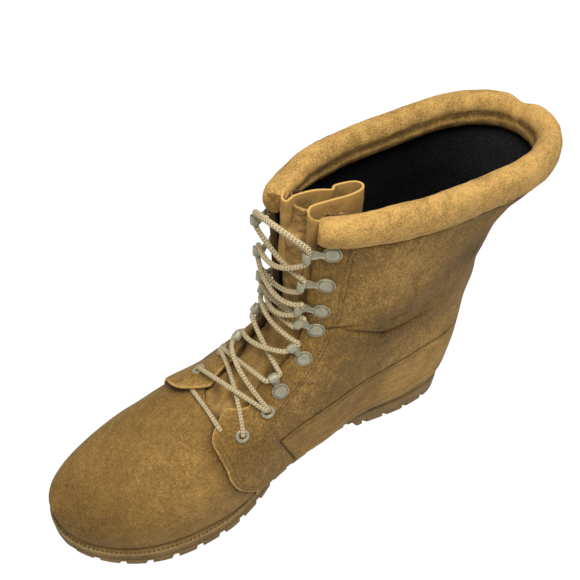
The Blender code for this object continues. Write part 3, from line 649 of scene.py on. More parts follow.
def split(data, faces, level):
    """Cuts triangles along a level of the last column, so that none straddles it."""
    field = data[:, -1] - level
    above = field[faces] > 0
    count = above.sum(1)
    whole, cut = faces[(count == 0) | (count == 3)], (count == 1) | (count == 2)
    part, above = faces[cut], above[cut]
    if not len(part):
        return data, faces
    lone = np.where(above.sum(1) == 1, above.argmax(1), (~above).argmax(1))
    pick = np.arange(len(part))
    a, b, c = (part[pick, (lone + k) % 3] for k in range(3))
    edges = np.concatenate([np.sort(np.stack([a, b], 1), 1), np.sort(np.stack([a, c], 1), 1)])
    unique, where = np.unique(edges, axis=0, return_inverse=True)
    where = where.ravel()
    low, high = field[unique[:, 0]], field[unique[:, 1]]
    t = np.clip(low / (low - high), 0.04, 0.96)[:, None]
    fresh = data[unique[:, 0]] * (1 - t) + data[unique[:, 1]] * t
    fresh[:, -1] = level
    ab, ac = where[:len(part)] + len(data), where[len(part):] + len(data)
    made = [np.stack(t3, 1) for t3 in ((a, ab, ac), (ab, b, c), (ab, c, ac))]
    return np.concatenate([data, fresh]), np.concatenate([whole] + made)


def compact(points, faces, *extra):
    """Drops the points that no face uses."""
    used, where = np.unique(faces, return_inverse=True)
    return (points[used], where.reshape(faces.shape)) + tuple(e[used] for e in extra)


def outline_field(flat, line):
    """Distance inside a closed side view outline, below zero outside."""
    line = np.array(line)
    after = np.roll(line, -1, axis=0)
    way = after - line
    t = np.clip(((flat[:, None] - line) * way).sum(2) / np.maximum((way ** 2).sum(1), 1e-12), 0, 1)
    gap = np.linalg.norm(flat[:, None] - (line + t[..., None] * way), axis=2).min(1)
    x, z = flat[:, :1], flat[:, 1:]
    crosses = (line[:, 1] > z) != (after[:, 1] > z)
    with np.errstate(divide="ignore", invalid="ignore"):
        at = line[:, 0] + (z - line[:, 1]) * way[:, 0] / way[:, 1]
    inside = (crosses & (x < at)).sum(1) % 2 == 1
    return np.where(inside, gap, -gap)


def soft_least(a, b, corner):
    """The lesser of two distances, with the corner between them rounded off."""
    h = np.clip(0.5 + 0.5 * (b - a) / corner, 0, 1)
    return b * (1 - h) + a * h - corner * h * (1 - h)


def curve_through(points, steps=8):
    """A smooth curve through points."""
    p = np.array(points, float)
    p = np.concatenate([[2 * p[0] - p[1]], p, [2 * p[-1] - p[-2]]])
    t = np.linspace(0, 1, steps, endpoint=False)[:, None]
    out = []
    for k in range(1, len(p) - 2):
        a, b, c, d = p[k - 1:k + 3]
        out.append(0.5 * (2 * b + (c - a) * t + (2 * a - 5 * b + 4 * c - d) * t ** 2
                          + (3 * b - a - 3 * c + d) * t ** 3))
    return np.concatenate(out + [p[-2:-1]])


def side_line(rows):
    return np.array([(at_share(along), HEEL_HEIGHT + up * UPPER_HEIGHT) for _, along, up in rows])


def tone_at(points):
    """Lighter and darker patches, painted crease shade among them, as one number for each point."""
    tone = np.zeros(len(points))
    for x, y, z, radius, amount in zip(*(PATCHES[name] for name in PATCHES)):
        gap = np.linalg.norm(points - np.array([x, y, z]) * MM, axis=1) / (radius * MM)
        tone += amount * np.exp(-gap ** 2)
    return tone


def show(name, points, faces, finish, slot, replaces=(), tone=None, sharp=35, uv=None):
    """Makes a finished piece: a plain mesh at the origin that rides on the boot's one body."""
    name = name.replace(",", "").replace(" ", "_")
    mesh = bpy.data.meshes.new(name)
    mesh.from_pydata(np.asarray(points).tolist(), [], np.asarray(faces).tolist())
    mesh.polygons.foreach_set("use_smooth", [True] * len(mesh.polygons))
    mesh.set_sharp_from_angle(angle=math.radians(sharp))
    if tone is not None:
        mesh.attributes.new("tone", "FLOAT", "POINT").data.foreach_set("value", np.asarray(tone, np.float32))
    if uv is not None:
        layer = mesh.uv_layers.new(name="run")
        corner = np.zeros(len(mesh.loops), int)
        mesh.loops.foreach_get("vertex_index", corner)
        layer.data.foreach_set("uv", np.asarray(uv, np.float32)[corner].ravel())
    mesh.materials.append(finish)
    return settle(add_object(name, mesh), slot, replaces)


def add_object(name, data):
    made = bpy.data.objects.new(name, data)
    bpy.context.scene.collection.objects.link(made)
    return made


def settle(made, slot, replaces=()):
    """Says which body a finished piece rides on and which nodes it stands for; its slot argument is not used.
    """
    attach(made, "root")
    if replaces:
        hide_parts(*replaces)
    return made


class Paint:
    """Builds one material's nodes by short calls."""

    def __init__(self, name):
        self.material = bpy.data.materials.new(name)
        self.material.use_nodes = True
        self.tree = self.material.node_tree
        self.skin = self.tree.nodes["Principled BSDF"]

    def add(self, kind, *values, **settings):
        """A node of a kind; values fill its inputs in order, a socket as a link; None skips one."""
        node = self.tree.nodes.new("ShaderNode" + kind)
        for name, value in settings.items():
            setattr(node, name, value)
        for k, value in enumerate(values):
            self.put(node.inputs[k], value)
        return node

    def put(self, socket, value):
        if isinstance(value, bpy.types.NodeSocket):
            self.tree.links.new(value, socket)
        elif value is not None:
            socket.default_value = value

    def set(self, **values):
        for name, value in values.items():
            self.put(self.skin.inputs[name.replace("_", " ")], value)
        return self.material

    def place(self, scale=(1, 1, 1)):
        coordinates = self.add("TexCoord").outputs["Object"]
        return self.add("Mapping", coordinates, None, None, Vector(scale)).outputs[0]

    def noise(self, place, scale, detail=3, rough=0.6):
        node = self.add("TexNoise")
        for name, value in (("Vector", place), ("Scale", scale), ("Detail", detail), ("Roughness", rough)):
            self.put(node.inputs[name], value)
        return node.outputs["Fac"]

    def math(self, operation, a, b=0.0, c=0.0):
        return self.add("Math", a, b, c, operation=operation).outputs[0]

    def ramp(self, value, stops):
        node = self.add("ValToRGB", value)
        band = node.color_ramp
        while len(band.elements) < len(stops):
            band.elements.new(0.5)
        for element, (position, color) in zip(band.elements, stops):
            element.position = position
            element.color = (*color, 1)
        return node.outputs[0]

    def bump(self, height, distance, strength=1.0):
        node = self.add("Bump")
        for name, value in (("Strength", strength), ("Distance", distance), ("Height", height)):
            self.put(node.inputs[name], value)
        return node.outputs[0]


def srgb(r, g, b):
    """A colour on the 0 to 255 scale as linear light."""
    return tuple((v / 255 / 12.92) if v <= 10 else ((v / 255 + 0.055) / 1.055) ** 2.4 for v in (r, g, b))


def suede(name, dark, middle, light, streak=(1, 1, 1), contrast=1.0, grain=1.0):
    """Rough leather: cloudy patches, brushed streaks and a fine nap; the mesh's tone lightens or darkens it,
    and carries lighter and darker patches, painted shade and painted highlights.
    """
    p = Paint(name)
    place = p.place()
    brushed = p.place(streak)
    cloud = p.noise(place, 34, 4, 0.62)
    streaks = p.noise(brushed, 170, 4, 0.65)
    nap = p.noise(brushed, 900, 3, 0.7)
    tone = p.add("Attribute", attribute_name="tone").outputs["Fac"]
    value = p.math("MULTIPLY_ADD", p.math("SUBTRACT", cloud, 0.5), 0.50 * contrast, 0.5)
    value = p.math("MULTIPLY_ADD", p.math("SUBTRACT", streaks, 0.5), 0.50 * contrast, value)
    value = p.math("MULTIPLY_ADD", p.math("SUBTRACT", nap, 0.5), 0.85 * grain, value)
    # The tone brings in the painted shade and painted highlights laid on the mesh.
    value = p.math("ADD", value, tone)
    color = p.ramp(value, [(0.10, dark), (0.50, middle), (0.88, light)])
    rough = p.noise(place, 420, 2, 0.6)
    height = p.math("MULTIPLY_ADD", nap, 0.7, p.math("MULTIPLY", rough, 0.5))
    normal = p.bump(height, 0.0007 * grain, 0.55)
    return p.set(Base_Color=color, Roughness=0.93, Specular_IOR_Level=0.18, Normal=normal, Sheen_Weight=0.06,
                 Sheen_Roughness=0.5, Sheen_Tint=(0.95, 0.80, 0.58, 1))


def shell(outer, inner, faces):
    """A closed skin from two surfaces that share their faces."""
    n = len(outer)
    edges = np.concatenate([faces[:, [0, 1]], faces[:, [1, 2]], faces[:, [2, 0]]])
    known = {(a, b) for a, b in edges.tolist()}
    rim = [(a, b) for a, b in known if (b, a) not in known]
    walls = [(b, a, a + n) for a, b in rim] + [(b, a + n, b + n) for a, b in rim]
    return np.concatenate([outer, inner]), np.concatenate([faces, faces[:, ::-1] + n, np.array(walls)])


def sweep(loops, closed=False):
    """Points and triangles through equal loops, with ends closed by a point in their middle."""
    loops = np.asarray(loops, float)
    rows, count = loops.shape[:2]
    points, faces = loops.reshape(-1, 3), []
    i = np.arange(count)
    j = (i + 1) % count
    for r in range(rows if closed else rows - 1):
        a, b = r * count, (r + 1) % rows * count
        faces += [np.stack([a + i, b + i, b + j], 1), np.stack([a + i, b + j, a + j], 1)]
    if not closed:
        points = np.concatenate([points, loops[:1].mean(1), loops[-1:].mean(1)])
        end = (rows - 1) * count
        first, last = i * 0 + rows * count, i * 0 + rows * count + 1
        faces += [np.stack([first, i, j], 1), np.stack([last, end + j, end + i], 1)]
    faces = np.concatenate(faces)
    a, b, c = (points[faces[:, k]] for k in range(3))
    if (a * np.cross(b, c)).sum() < 0:
        faces = faces[:, ::-1]
    return points, faces


def tube(points, radius, sides=14, start=(0, 0, 1)):
    """A round cord through points, and its run along and round as UV."""
    points = np.asarray(points, float)
    ahead, run, turns = unit(np.gradient(points, axis=0)), run_of(points), full_turn(sides)
    side, loops, uv = np.cross(ahead[0], start), [], []
    for place, along, far in zip(points, ahead, run):
        side = side - along * (side @ along)
        side /= np.linalg.norm(side)
        other = np.cross(along, side)
        loops.append([place + radius * (math.cos(a) * side + math.sin(a) * other) for a in turns])
        uv += [(far, abs(a / math.pi - 1)) for a in turns]
    made, faces = sweep(loops)
    return made, faces, np.concatenate([uv, [(0, 0), (run[-1], 0)]])


def merge(parts):
    """Several point and triangle sets as one."""
    points, faces, start = [], [], 0
    for made in parts:
        points.append(made[0])
        faces.append(np.asarray(made[1]) + start)
        start += len(made[0])
    return np.concatenate(points), np.concatenate(faces)


COLUMN = {"side": 6, "row": 7, "edge": 8, "reach": 9}
SKIN = Skin()


def panel(side, field, name, thick, finish, slot, replaces, lift=None, tones=0.0, first_row=-2):
    """One overlay: the skin inside a field's zero line, with a rounded cut edge and walls below."""
    faces = SKIN.faces if side == 0 else SKIN.patch(side)
    faces = faces[(SKIN.data[faces, COLUMN["row"]] >= first_row).all(1)]
    data = np.concatenate([SKIN.data, field[:, None]], 1)
    for level in (0.0, 0.0004, 0.0011, 0.0026):
        data, faces = split(data, faces, level)
    faces = faces[(data[faces, -1] >= -1e-9).all(1)]
    data, faces = compact(data, faces)
    points, normals, inside = data[:, :3], unit(data[:, 3:6]), data[:, -1]
    height = thick * (0.60 + 0.40 * rounded(inside / 0.0010, 2.0))
    extra = lift(data) if lift else np.zeros(len(points))
    outer = points + normals * (height + extra)[:, None]
    inner = points + normals * (0.00005 + np.maximum(extra - 0.0012, 0))[:, None]
    made, walls = shell(outer, inner, faces)
    # Painted highlight along the cut edges in front (x above 0.135), where they catch the light, and painted
    # shade along the cut edges further back, at the seams. The undersides get painted shade, 0.35 darker.
    edge = np.where(points[:, 0] > 0.135, 0.45, -0.35) * np.exp(-inside / 0.0009)
    tone = np.concatenate([tone_at(points) + edge + tones, tone_at(points) - 0.35])
    return show(name, made, walls, finish, slot, replaces, tone, sharp=50)


def row_limit():
    """Distance of skin points from the flap's front corner line, counted round the throat's base."""
    row, reach = SKIN.data[:, COLUMN["row"]], SKIN.data[:, COLUMN["reach"]]
    arc = (row - FLAP_ROW) * math.pi / 2 * (reach + THROAT_HALF * SECTIONS["throat"][0])
    return np.where(row < 0, arc, 1.0)


def back_limit():
    """Distance of skin points from the back's middle line and the backstay."""
    x, z = SKIN.data[:, 0], SKIN.data[:, 2]
    stay_top = HEEL_HEIGHT + BACKSTAY_TOP * UPPER_HEIGHT
    stay = np.maximum(np.abs(SKIN.data[:, 1]) - BACKSTAY_HALF - SEAM_GAP, z - stay_top - SEAM_GAP)
    middle = np.where(SKIN.data[:, COLUMN["row"]] >= HEEL_ROW, SKIN.left - 0.0003, 1.0)
    return np.minimum(np.where(x < 0, stay, 1.0), middle)


def flat_outlines():
    """Side view outlines of the quarters and foxings."""
    flap, seam = curve_through(side_line(FLAP_FRONT)), curve_through(side_line(LOW_SEAM)[1:])
    seam = np.concatenate([side_line(LOW_SEAM)[:1], seam])
    under, above, far = -0.05, HEEL_HEIGHT + 2 * UPPER_HEIGHT, BACK - 0.2
    quarter = np.concatenate([flap, [(flap[-1, 0], under), (seam[0, 0] + SEAM_GAP, under)],
                              seam + SEAM_GAP, [(far, above), (PIVOT_X + 0.2, above)]])
    foxing = np.concatenate([seam, [(far, seam[-1, 1]), (far, under), (seam[0, 0], under)]])
    return quarter, foxing


def skin_frame(points, side, lift):
    """Points laid on the skin: side view places, or whole places, moved out along the skin's normal."""
    points = np.atleast_2d(points)
    data = SKIN.data[SKIN.data[:, COLUMN["side"]] == side] if side else SKIN.data
    keys = data[:, (0, 2)] if points.shape[1] == 2 else data[:, :3]
    gap = np.linalg.norm(points[:, None] - keys[None], axis=2)
    near = np.argpartition(gap, 4, axis=1)[:, :4]
    weight = 1 / (np.take_along_axis(gap, near, 1) + 1e-5) ** 2
    weight /= weight.sum(1)[:, None]
    place = (data[near, :3] * weight[..., None]).sum(1)
    normal = unit((data[near, 3:6] * weight[..., None]).sum(1))
    return place + normal * lift, normal


def leg_line(side, rows, distance, lift):
    """A line up the leg at a distance from the throat's edge."""
    line = [along_curve(section(row, side), [throat_at(row) + distance])[0][0] for row in rows]
    return skin_frame(np.array(line), side, lift)


def smooth_run(points, gap=0.001):
    """A path resampled in equal steps and made a little smoother."""
    points = np.asarray(points, float)
    run = run_of(points)
    out = at_runs(points, run, np.linspace(0, run[-1], max(int(run[-1] / gap), 4)))
    for _ in range(2):
        out[1:-1] = (out[:-2] + 2 * out[1:-1] + out[2:]) / 4
    return out


def stitch_tree():
    """Node tree that lays small rounded stitches along a path's edges."""
    tree = bpy.data.node_groups.new("stitches along a path", "GeometryNodeTree")
    face = tree.interface
    face.new_socket("Path", in_out="INPUT", socket_type="NodeSocketGeometry")
    for name, value in (("Pitch", 0.003), ("Length", 0.0022), ("Radius", 0.0004)):
        made = face.new_socket(name, in_out="INPUT", socket_type="NodeSocketFloat")
        made.default_value, made.subtype = value, "DISTANCE"
    face.new_socket("Seed", in_out="INPUT", socket_type="NodeSocketInt").default_value = 7
    face.new_socket("Thread", in_out="INPUT", socket_type="NodeSocketMaterial")
    face.new_socket("Stitches", in_out="OUTPUT", socket_type="NodeSocketGeometry")
    add = tree.nodes.new
    start, end = add("NodeGroupInput"), add("NodeGroupOutput")
    curve, even = add("GeometryNodeMeshToCurve"), add("GeometryNodeResampleCurve")
    even.mode = "LENGTH"
    tangent, aim = add("GeometryNodeInputTangent"), add("FunctionNodeAlignRotationToVector")
    grain, lay = add("GeometryNodeMeshUVSphere"), add("GeometryNodeInstanceOnPoints")
    aim.axis = "Z"
    grain.inputs["Segments"].default_value, grain.inputs["Rings"].default_value = 7, 5
    half, size, jitter = add("ShaderNodeMath"), add("ShaderNodeCombineXYZ"), add("FunctionNodeRandomValue")
    half.operation = "MULTIPLY"
    half.inputs[1].default_value = 0.5
    jitter.data_type = "FLOAT"
    jitter.inputs[2].default_value, jitter.inputs[3].default_value = 0.9, 1.08
    scale = add("ShaderNodeVectorMath")
    scale.operation = "SCALE"
    real, paint = add("GeometryNodeRealizeInstances"), add("GeometryNodeSetMaterial")
    wires = [
        (start, "Path", curve, "Mesh"), (curve, "Curve", even, "Curve"), (start, "Pitch", even, "Length"),
        (tangent, 0, aim, "Vector"), (even, "Curve", lay, "Points"), (grain, "Mesh", lay, "Instance"),
        (aim, "Rotation", lay, "Rotation"), (start, "Length", half, 0), (start, "Radius", size, "X"),
        (start, "Radius", size, "Y"), (half, 0, size, "Z"), (start, "Seed", jitter, "Seed"),
        (size, 0, scale, 0), (jitter, 1, scale, "Scale"), (scale, "Vector", lay, "Scale"),
        (lay, "Instances", real, "Geometry"), (real, "Geometry", paint, "Geometry"),
        (start, "Thread", paint, "Material"), (paint, "Geometry", end, "Stitches"),
    ]
    for source, output, target, entry in wires:
        tree.links.new(source.outputs[output], target.inputs[entry])
    return tree


def stitches(name, paths, thread, slot, **sizes):
    """Runs the stitch tree over paths and keeps the result as a plain mesh."""
    name = name.replace(" ", "_")
    tree = bpy.data.node_groups.get("stitches along a path") or stitch_tree()
    points, edges, start = [], [], 0
    for path in paths:
        points += np.asarray(path).tolist()
        edges += [(start + k, start + k + 1) for k in range(len(path) - 1)]
        start += len(path)
    mesh = bpy.data.meshes.new(name + " path")
    mesh.from_pydata(points, edges, [])
    carrier = add_object(name + " path", mesh)
    modifier = carrier.modifiers.new("stitches", "NODES")
    modifier.node_group = tree
    for item in tree.interface.items_tree:
        if item.in_out == "INPUT" and item.name in sizes:
            modifier[item.identifier] = sizes[item.name]
        if item.in_out == "INPUT" and item.name == "Thread":
            modifier[item.identifier] = thread
    graph = bpy.context.evaluated_depsgraph_get()
    made = bpy.data.meshes.new_from_object(carrier.evaluated_get(graph))
    made.name = name
    carrier.modifiers.clear()
    bpy.data.objects.remove(carrier)
    if not len(made.polygons):
        raise RuntimeError(name + " came out empty")
    made.polygons.foreach_set("use_smooth", [True] * len(made.polygons))
    return settle(add_object(name, made), slot)


def length_of(name, words, value):
    return FloatProperty(name=name, description=words, default=value, min=0, unit="LENGTH", precision=4)


def color_of(name, words, value):
    return FloatVectorProperty(name=name, description=words, default=value, size=3, min=0, max=1,
                               subtype="COLOR")


class BootSizes(PropertyGroup):
    """Sizes a user would change."""
    stitch_pitch: length_of("Stitch pitch", "Distance between stitches of a seam", 0.0029)
    stitch_length: length_of("Stitch length", "Length of one stitch", 0.0023)
    thread_radius: length_of("Thread radius", "Radius of the sewing thread", 0.00032)
    lace_radius: length_of("Lace radius", "Radius of the lace", LACE_THIN)
    lace_sag: length_of("Lace sag", "How far a strand hangs towards the toe", 0.004)
    tick_pitch: length_of("Welt tick pitch", "Distance between the marks on the welt", 0.0032)


class BootColors(PropertyGroup):
    """Colours a user would change."""
    # The dark suede colour also shows the painted shade that the pieces' tone lays in creases, at seams and
    # under parts, and the light one their painted edge highlights.
    suede_light: color_of("Suede, light", "Brushed and worn suede", srgb(190, 150, 84))
    suede_middle: color_of("Suede, middle", "Most of the suede", srgb(127, 97, 48))
    suede_dark: color_of("Suede, dark", "Creases and dirt in the suede", srgb(66, 48, 22))
    tongue_color: color_of("Tongue", "Smooth inside leather of the tongue", srgb(142, 111, 62))
    metal_color: color_of("Hardware", "Paint of the hooks and eyelets", srgb(156, 150, 124))
    lace_color: color_of("Lace", "Light yarn of the lace", srgb(204, 184, 142))
    lining_color: color_of("Lining", "Mesh of the lining", srgb(7, 7, 8))
    rubber_color: color_of("Sole", "Rubber of the outsole", srgb(126, 101, 58))
    thread_color: color_of("Thread", "Thread of the seams", srgb(104, 80, 42))


class BuildPiece:
    """What the operators share."""
    bl_options = {"REGISTER", "UNDO"}

    @property
    def sizes(self):
        return bpy.context.scene.boot_sizes

    @property
    def colors(self):
        return bpy.context.scene.boot_colors

    def suede(self, name, **looks):
        c = self.colors
        return suede(name, tuple(c.suede_dark), tuple(c.suede_middle), tuple(c.suede_light), **looks)


class BOOT_OT_upper(BuildPiece, Operator):
    """Build the upper's suede shell"""
    bl_idname = "boot.upper"
    bl_label = "Upper"

    def execute(self, context):
        data, faces = split(SKIN.data, SKIN.faces, 0.0)
        data, faces = compact(data, faces[(data[faces, -1] >= -1e-9).all(1)])
        points, normals = data[:, :3], data[:, 3:6]
        made, faces = shell(points, points - normals * (WALL - 0.0004), faces)
        beside = outline_field(points[:, (0, 2)], flat_outlines()[0])
        arc = (data[:, COLUMN["row"]] - FLAP_ROW) * math.pi / 2 * (data[:, COLUMN["reach"]] + THROAT_HALF)
        beside = soft_least(beside, np.where(data[:, COLUMN["row"]] < 0, arc, 1.0), ROUND_CORNER)
        # Painted shadow of the quarters on the vamp: 0.40 darker under their outline and fading out beside it.
        # The shell's inner wall gets painted shade, 0.3 darker.
        tone = tone_at(points) - 0.40 * np.exp(np.minimum(beside, 0) / 0.0022)
        tone = np.concatenate([tone, tone - 0.3])
        show("upper leather", made, faces, self.suede("vamp suede", streak=(0.7, 1.0, 1.0), contrast=0.65),
             "suede_upper", ["upper"], tone, sharp=60)
        return {"FINISHED"}


class BOOT_OT_panels(BuildPiece, Operator):
    """Build the quarters, the heel panels and the strip up the back"""
    bl_idname = "boot.panels"
    bl_label = "Quarters, foxings and backstay"

    def execute(self, context):
        shaft = self.suede("quarter suede", streak=(1.0, 1.0, 0.5), contrast=0.8, grain=1.2)
        heel = self.suede("foxing suede", streak=(0.4, 1.0, 1.2), contrast=0.8, grain=0.7)
        quarter, foxing = flat_outlines()
        flat = SKIN.data[:, (0, 2)]
        for side, word in ((1, "outer"), (-1, "inner")):
            limits = np.minimum(back_limit(), SKIN.data[:, COLUMN["edge"]] + 0.0001)
            field = soft_least(np.minimum(outline_field(flat, quarter), limits), row_limit(), ROUND_CORNER)
            panel(side, field, "quarter, " + word, OVERLAY, shaft, "suede_panel", ["quarter_" + word],
                  lift=self.curl)
            field = np.minimum(outline_field(flat, foxing), limits)
            panel(side, field, "foxing, " + word, OVERLAY, heel, "suede_panel", ["foxing_" + word], tones=0.04)
        stay_top = HEEL_HEIGHT + BACKSTAY_TOP * UPPER_HEIGHT
        field = np.minimum(BACKSTAY_HALF - np.abs(SKIN.data[:, 1]), stay_top - SKIN.data[:, 2])
        field = np.where(SKIN.data[:, 0] < 0, field, -1.0)
        panel(0, field, "backstay strip", OVERLAY * 1.1, webbing(tuple(self.colors.suede_middle)),
              "ribbed_webbing", ["backstay"], first_row=4)
        return {"FINISHED"}

    @staticmethod
    def curl(data):
        """The flaps' raw edges stand up off the tongue, and the inner one's front corner turns up."""
        low = 1 - step((data[:, COLUMN["row"]] - 1.0) / 1.5)
        rise = 0.0012 * low * np.exp(-data[:, COLUMN["edge"]] / 0.0045)
        gap = np.linalg.norm(data[:, :2] - np.array(FLAP_CORNER), axis=1)
        return rise + CORNER_RISE * np.exp(-(gap / 0.014) ** 2) * (data[:, COLUMN["side"]] < 0)


def webbing(color):
    """Ribbed tape, with painted shade between its ribs."""
    p = Paint("ribbed tape")
    place = p.place()
    across = p.add("SeparateXYZ", place).outputs[1]
    ribs = p.math("SINE", p.math("MULTIPLY", across, 2 * math.pi / 0.0024))
    dirt = p.noise(place, 60, 4)
    # The ribs' wave puts painted shade in the grooves between them; the noise is dirt.
    value = p.math("MULTIPLY_ADD", ribs, 0.16, p.math("MULTIPLY_ADD", dirt, 0.9, 0.0))
    dark, light = shade(color, 0.18), shade(color, 0.62)
    normal = p.bump(p.math("ADD", ribs, p.noise(place, 900)), 0.0004, 0.8)
    return p.set(Base_Color=p.ramp(value, [(0.2, dark), (0.75, light)]), Roughness=0.85,
                 Specular_IOR_Level=0.25, Normal=normal)


class BOOT_OT_collar(BuildPiece, Operator):
    """Build the padded collar roll and the lining below it"""
    bl_idname = "boot.collar"
    bl_label = "Collar and lining"

    def execute(self, context):
        top = len(fine_rows()) - 1
        ids = np.concatenate([SKIN.grid[1][top], SKIN.grid[-1][top, -2::-1]])
        path, out = SKIN.smooth[ids], SKIN.data[ids, 3:6].copy()
        out[:, 2] = 0
        out = unit(out)
        for _ in range(6):
            out[1:-1] = (out[:-2] + 2 * out[1:-1] + out[2:]) / 4
        out, run = unit(out), run_of(path)
        at = np.linspace(ROLL_STEP / 2, run[-1] - ROLL_STEP / 2, int(run[-1] / ROLL_STEP))
        path, out = at_runs(path, run, at), at_runs(out, run, at)
        loops, tone = [], []
        for place, way, far in zip(path, out, at):
            ends = min(far, run[-1] - far)
            close = rounded(ends / 0.009, 2.0) * 0.5 + 0.5
            full = 1 + 0.05 * wander(far * 45)
            low = 1 - ROLL_FALL * (1 - float(step(ends / 0.050)))
            middle, half = (ROLL_OUT - ROLL_IN) / 2, (ROLL_OUT + ROLL_IN) / 2 * full * close
            loop = []
            for turn in full_turn(ROLL_FINE):
                c, s = math.cos(turn), math.sin(turn)
                wide, tall = squarer(c, 2 / 2.3), squarer(s, 2 / 2.3)
                pucker = 0.0007 * wander(far * 150, s * 1.5, c * 2)
                pinch = -0.0035 * math.exp(-((far - run[-1] * PINCH) / 0.007) ** 2) * max(s, 0)
                fold = math.exp(-((s - (SEAM_UP if c > 0 else FOLD_UP)) / 0.12) ** 2)
                seam = -(0.0007 if c > 0 else 0.0016) * fold
                lift = GAP + ROLL_HEIGHT / 2 * (1 + tall * (0.6 + 0.4 * close)) * low
                reach = middle + (half + pucker + seam + pinch) * wide
                loop.append(place + way * reach + np.array([0, 0, lift + pinch]))
                # Tone: a little lighter all round, with painted shade along the outer seam, deeper along the
                # inner fold, and on the roll's underside.
                tone.append(0.23 - (0.14 if c > 0 else 0.42) * fold - 0.35 * max(-s - 0.6, 0))
            loops.append(loop)
        made, faces = sweep(loops)
        tone = np.array(tone + [0, 0]) + tone_at(made) * 0.5
        finish = self.suede("collar suede", contrast=1.2, grain=1.3)
        roll = show("collar roll", made, faces, finish, "suede_collar", ["collar"], tone, sharp=60)
        self.lining()
        return {"FINISHED"}

    def lining(self):
        data, faces = split(SKIN.data, SKIN.faces, LINING_BACK)
        faces = faces[(data[faces, COLUMN["row"]] >= 2).all(1) & (data[faces, -1] >= LINING_BACK - 1e-9).all(1)]
        data, faces = compact(data, faces)
        points, normals = data[:, :3], data[:, 3:6]
        made, walls = shell(points - normals * (WALL - 0.0003), points - normals * (WALL + 0.0004), faces)
        show("lining", made, walls, lining_mesh(tuple(self.colors.lining_color)), "footbed", sharp=60)


def lining_mesh(color):
    """Black spacer mesh with small open holes."""
    p = Paint("lining mesh")
    place = p.place((1, 1, 0.8))
    cells = p.add("TexVoronoi")
    p.put(cells.inputs["Vector"], place)
    p.put(cells.inputs["Scale"], 620)
    open_part = p.math("SMOOTH_MIN", cells.outputs["Distance"], 0.6, 0.1)
    light = tuple(v * 2.5 + 0.003 for v in color)
    shade = p.ramp(open_part, [(0.12, tuple(v * 0.5 for v in color)), (0.55, light)])
    return p.set(Base_Color=shade, Roughness=0.9, Specular_IOR_Level=0.12,
                 Normal=p.bump(open_part, 0.0004, 0.7))


TONGUE_FOLDS = table("across width amount", [
    ("inner edge fold", -0.82, 0.16, 0.0060),
    ("inner valley", -0.38, 0.20, -0.0060),
    ("middle fold", 0.10, 0.26, 0.0090),
    ("outer valley", 0.52, 0.16, -0.0040),
    ("outer edge fold", 0.85, 0.14, 0.0050),
])
# From the lead under the vamp to the top: row, rise, inset and how much of the folds
TONGUE_RUN = table("step row rise inset fold", [
    ("lead", 0, -1.10, 0.0, 0.0, 0.0),
    ("lead middle", 1, -0.60, 0.0, 0.0, 0.0),
    ("throat base", 2, 0.0, 0.0, 0.0, 0.0),
    ("low instep", 3, 1.0, 0.0, 0.0, 0.02),
    ("instep", 4, 1.8, 0.0, 0.0, 0.05),
    ("bend", 5, 2.8, 0.0, 0.0, 0.06),
    ("ankle", 6, 4.0, 0.0, 0.0006, 0.06),
    ("shaft foot", 7, 8.0, 0.0, 0.0004, 0.08),
    ("shaft", 8, 9.2, 0.0, 0.0002, 0.12),
    ("shaft middle", 9, 10.2, 0.0, 0.0002, 0.14),
    ("shaft top", 10, 11.2, 0.0, 0.0006, 0.20),
    ("collar foot", 11, 12.0, -0.002, 0.0030, 0.25),
    ("collar middle", 12, 12.0, 0.006, 0.0070, 0.35),
    ("top", 13, 12.0, 0.014, 0.0085, 0.45),
])
# The tongue's side folded into a loop behind its front: its rim seen from above, in millimetres
TONGUE_LOOP = [
    (99, -5), (104, 0), (103, 5), (97, 4.5), (90, 6.5), (81, 10), (75, 11.5), (73, 8.5), (68, 9), (61, 13),
    (59, 17), (63, 20), (73, 19.5), (84, 16.5), (92, 15.5), (97, 16.5), (98, 19.5), (94, 22), (85, 23),
    (76, 24),
]
LOOP_LOW = 0.196
LOOP_TOP = 0.250


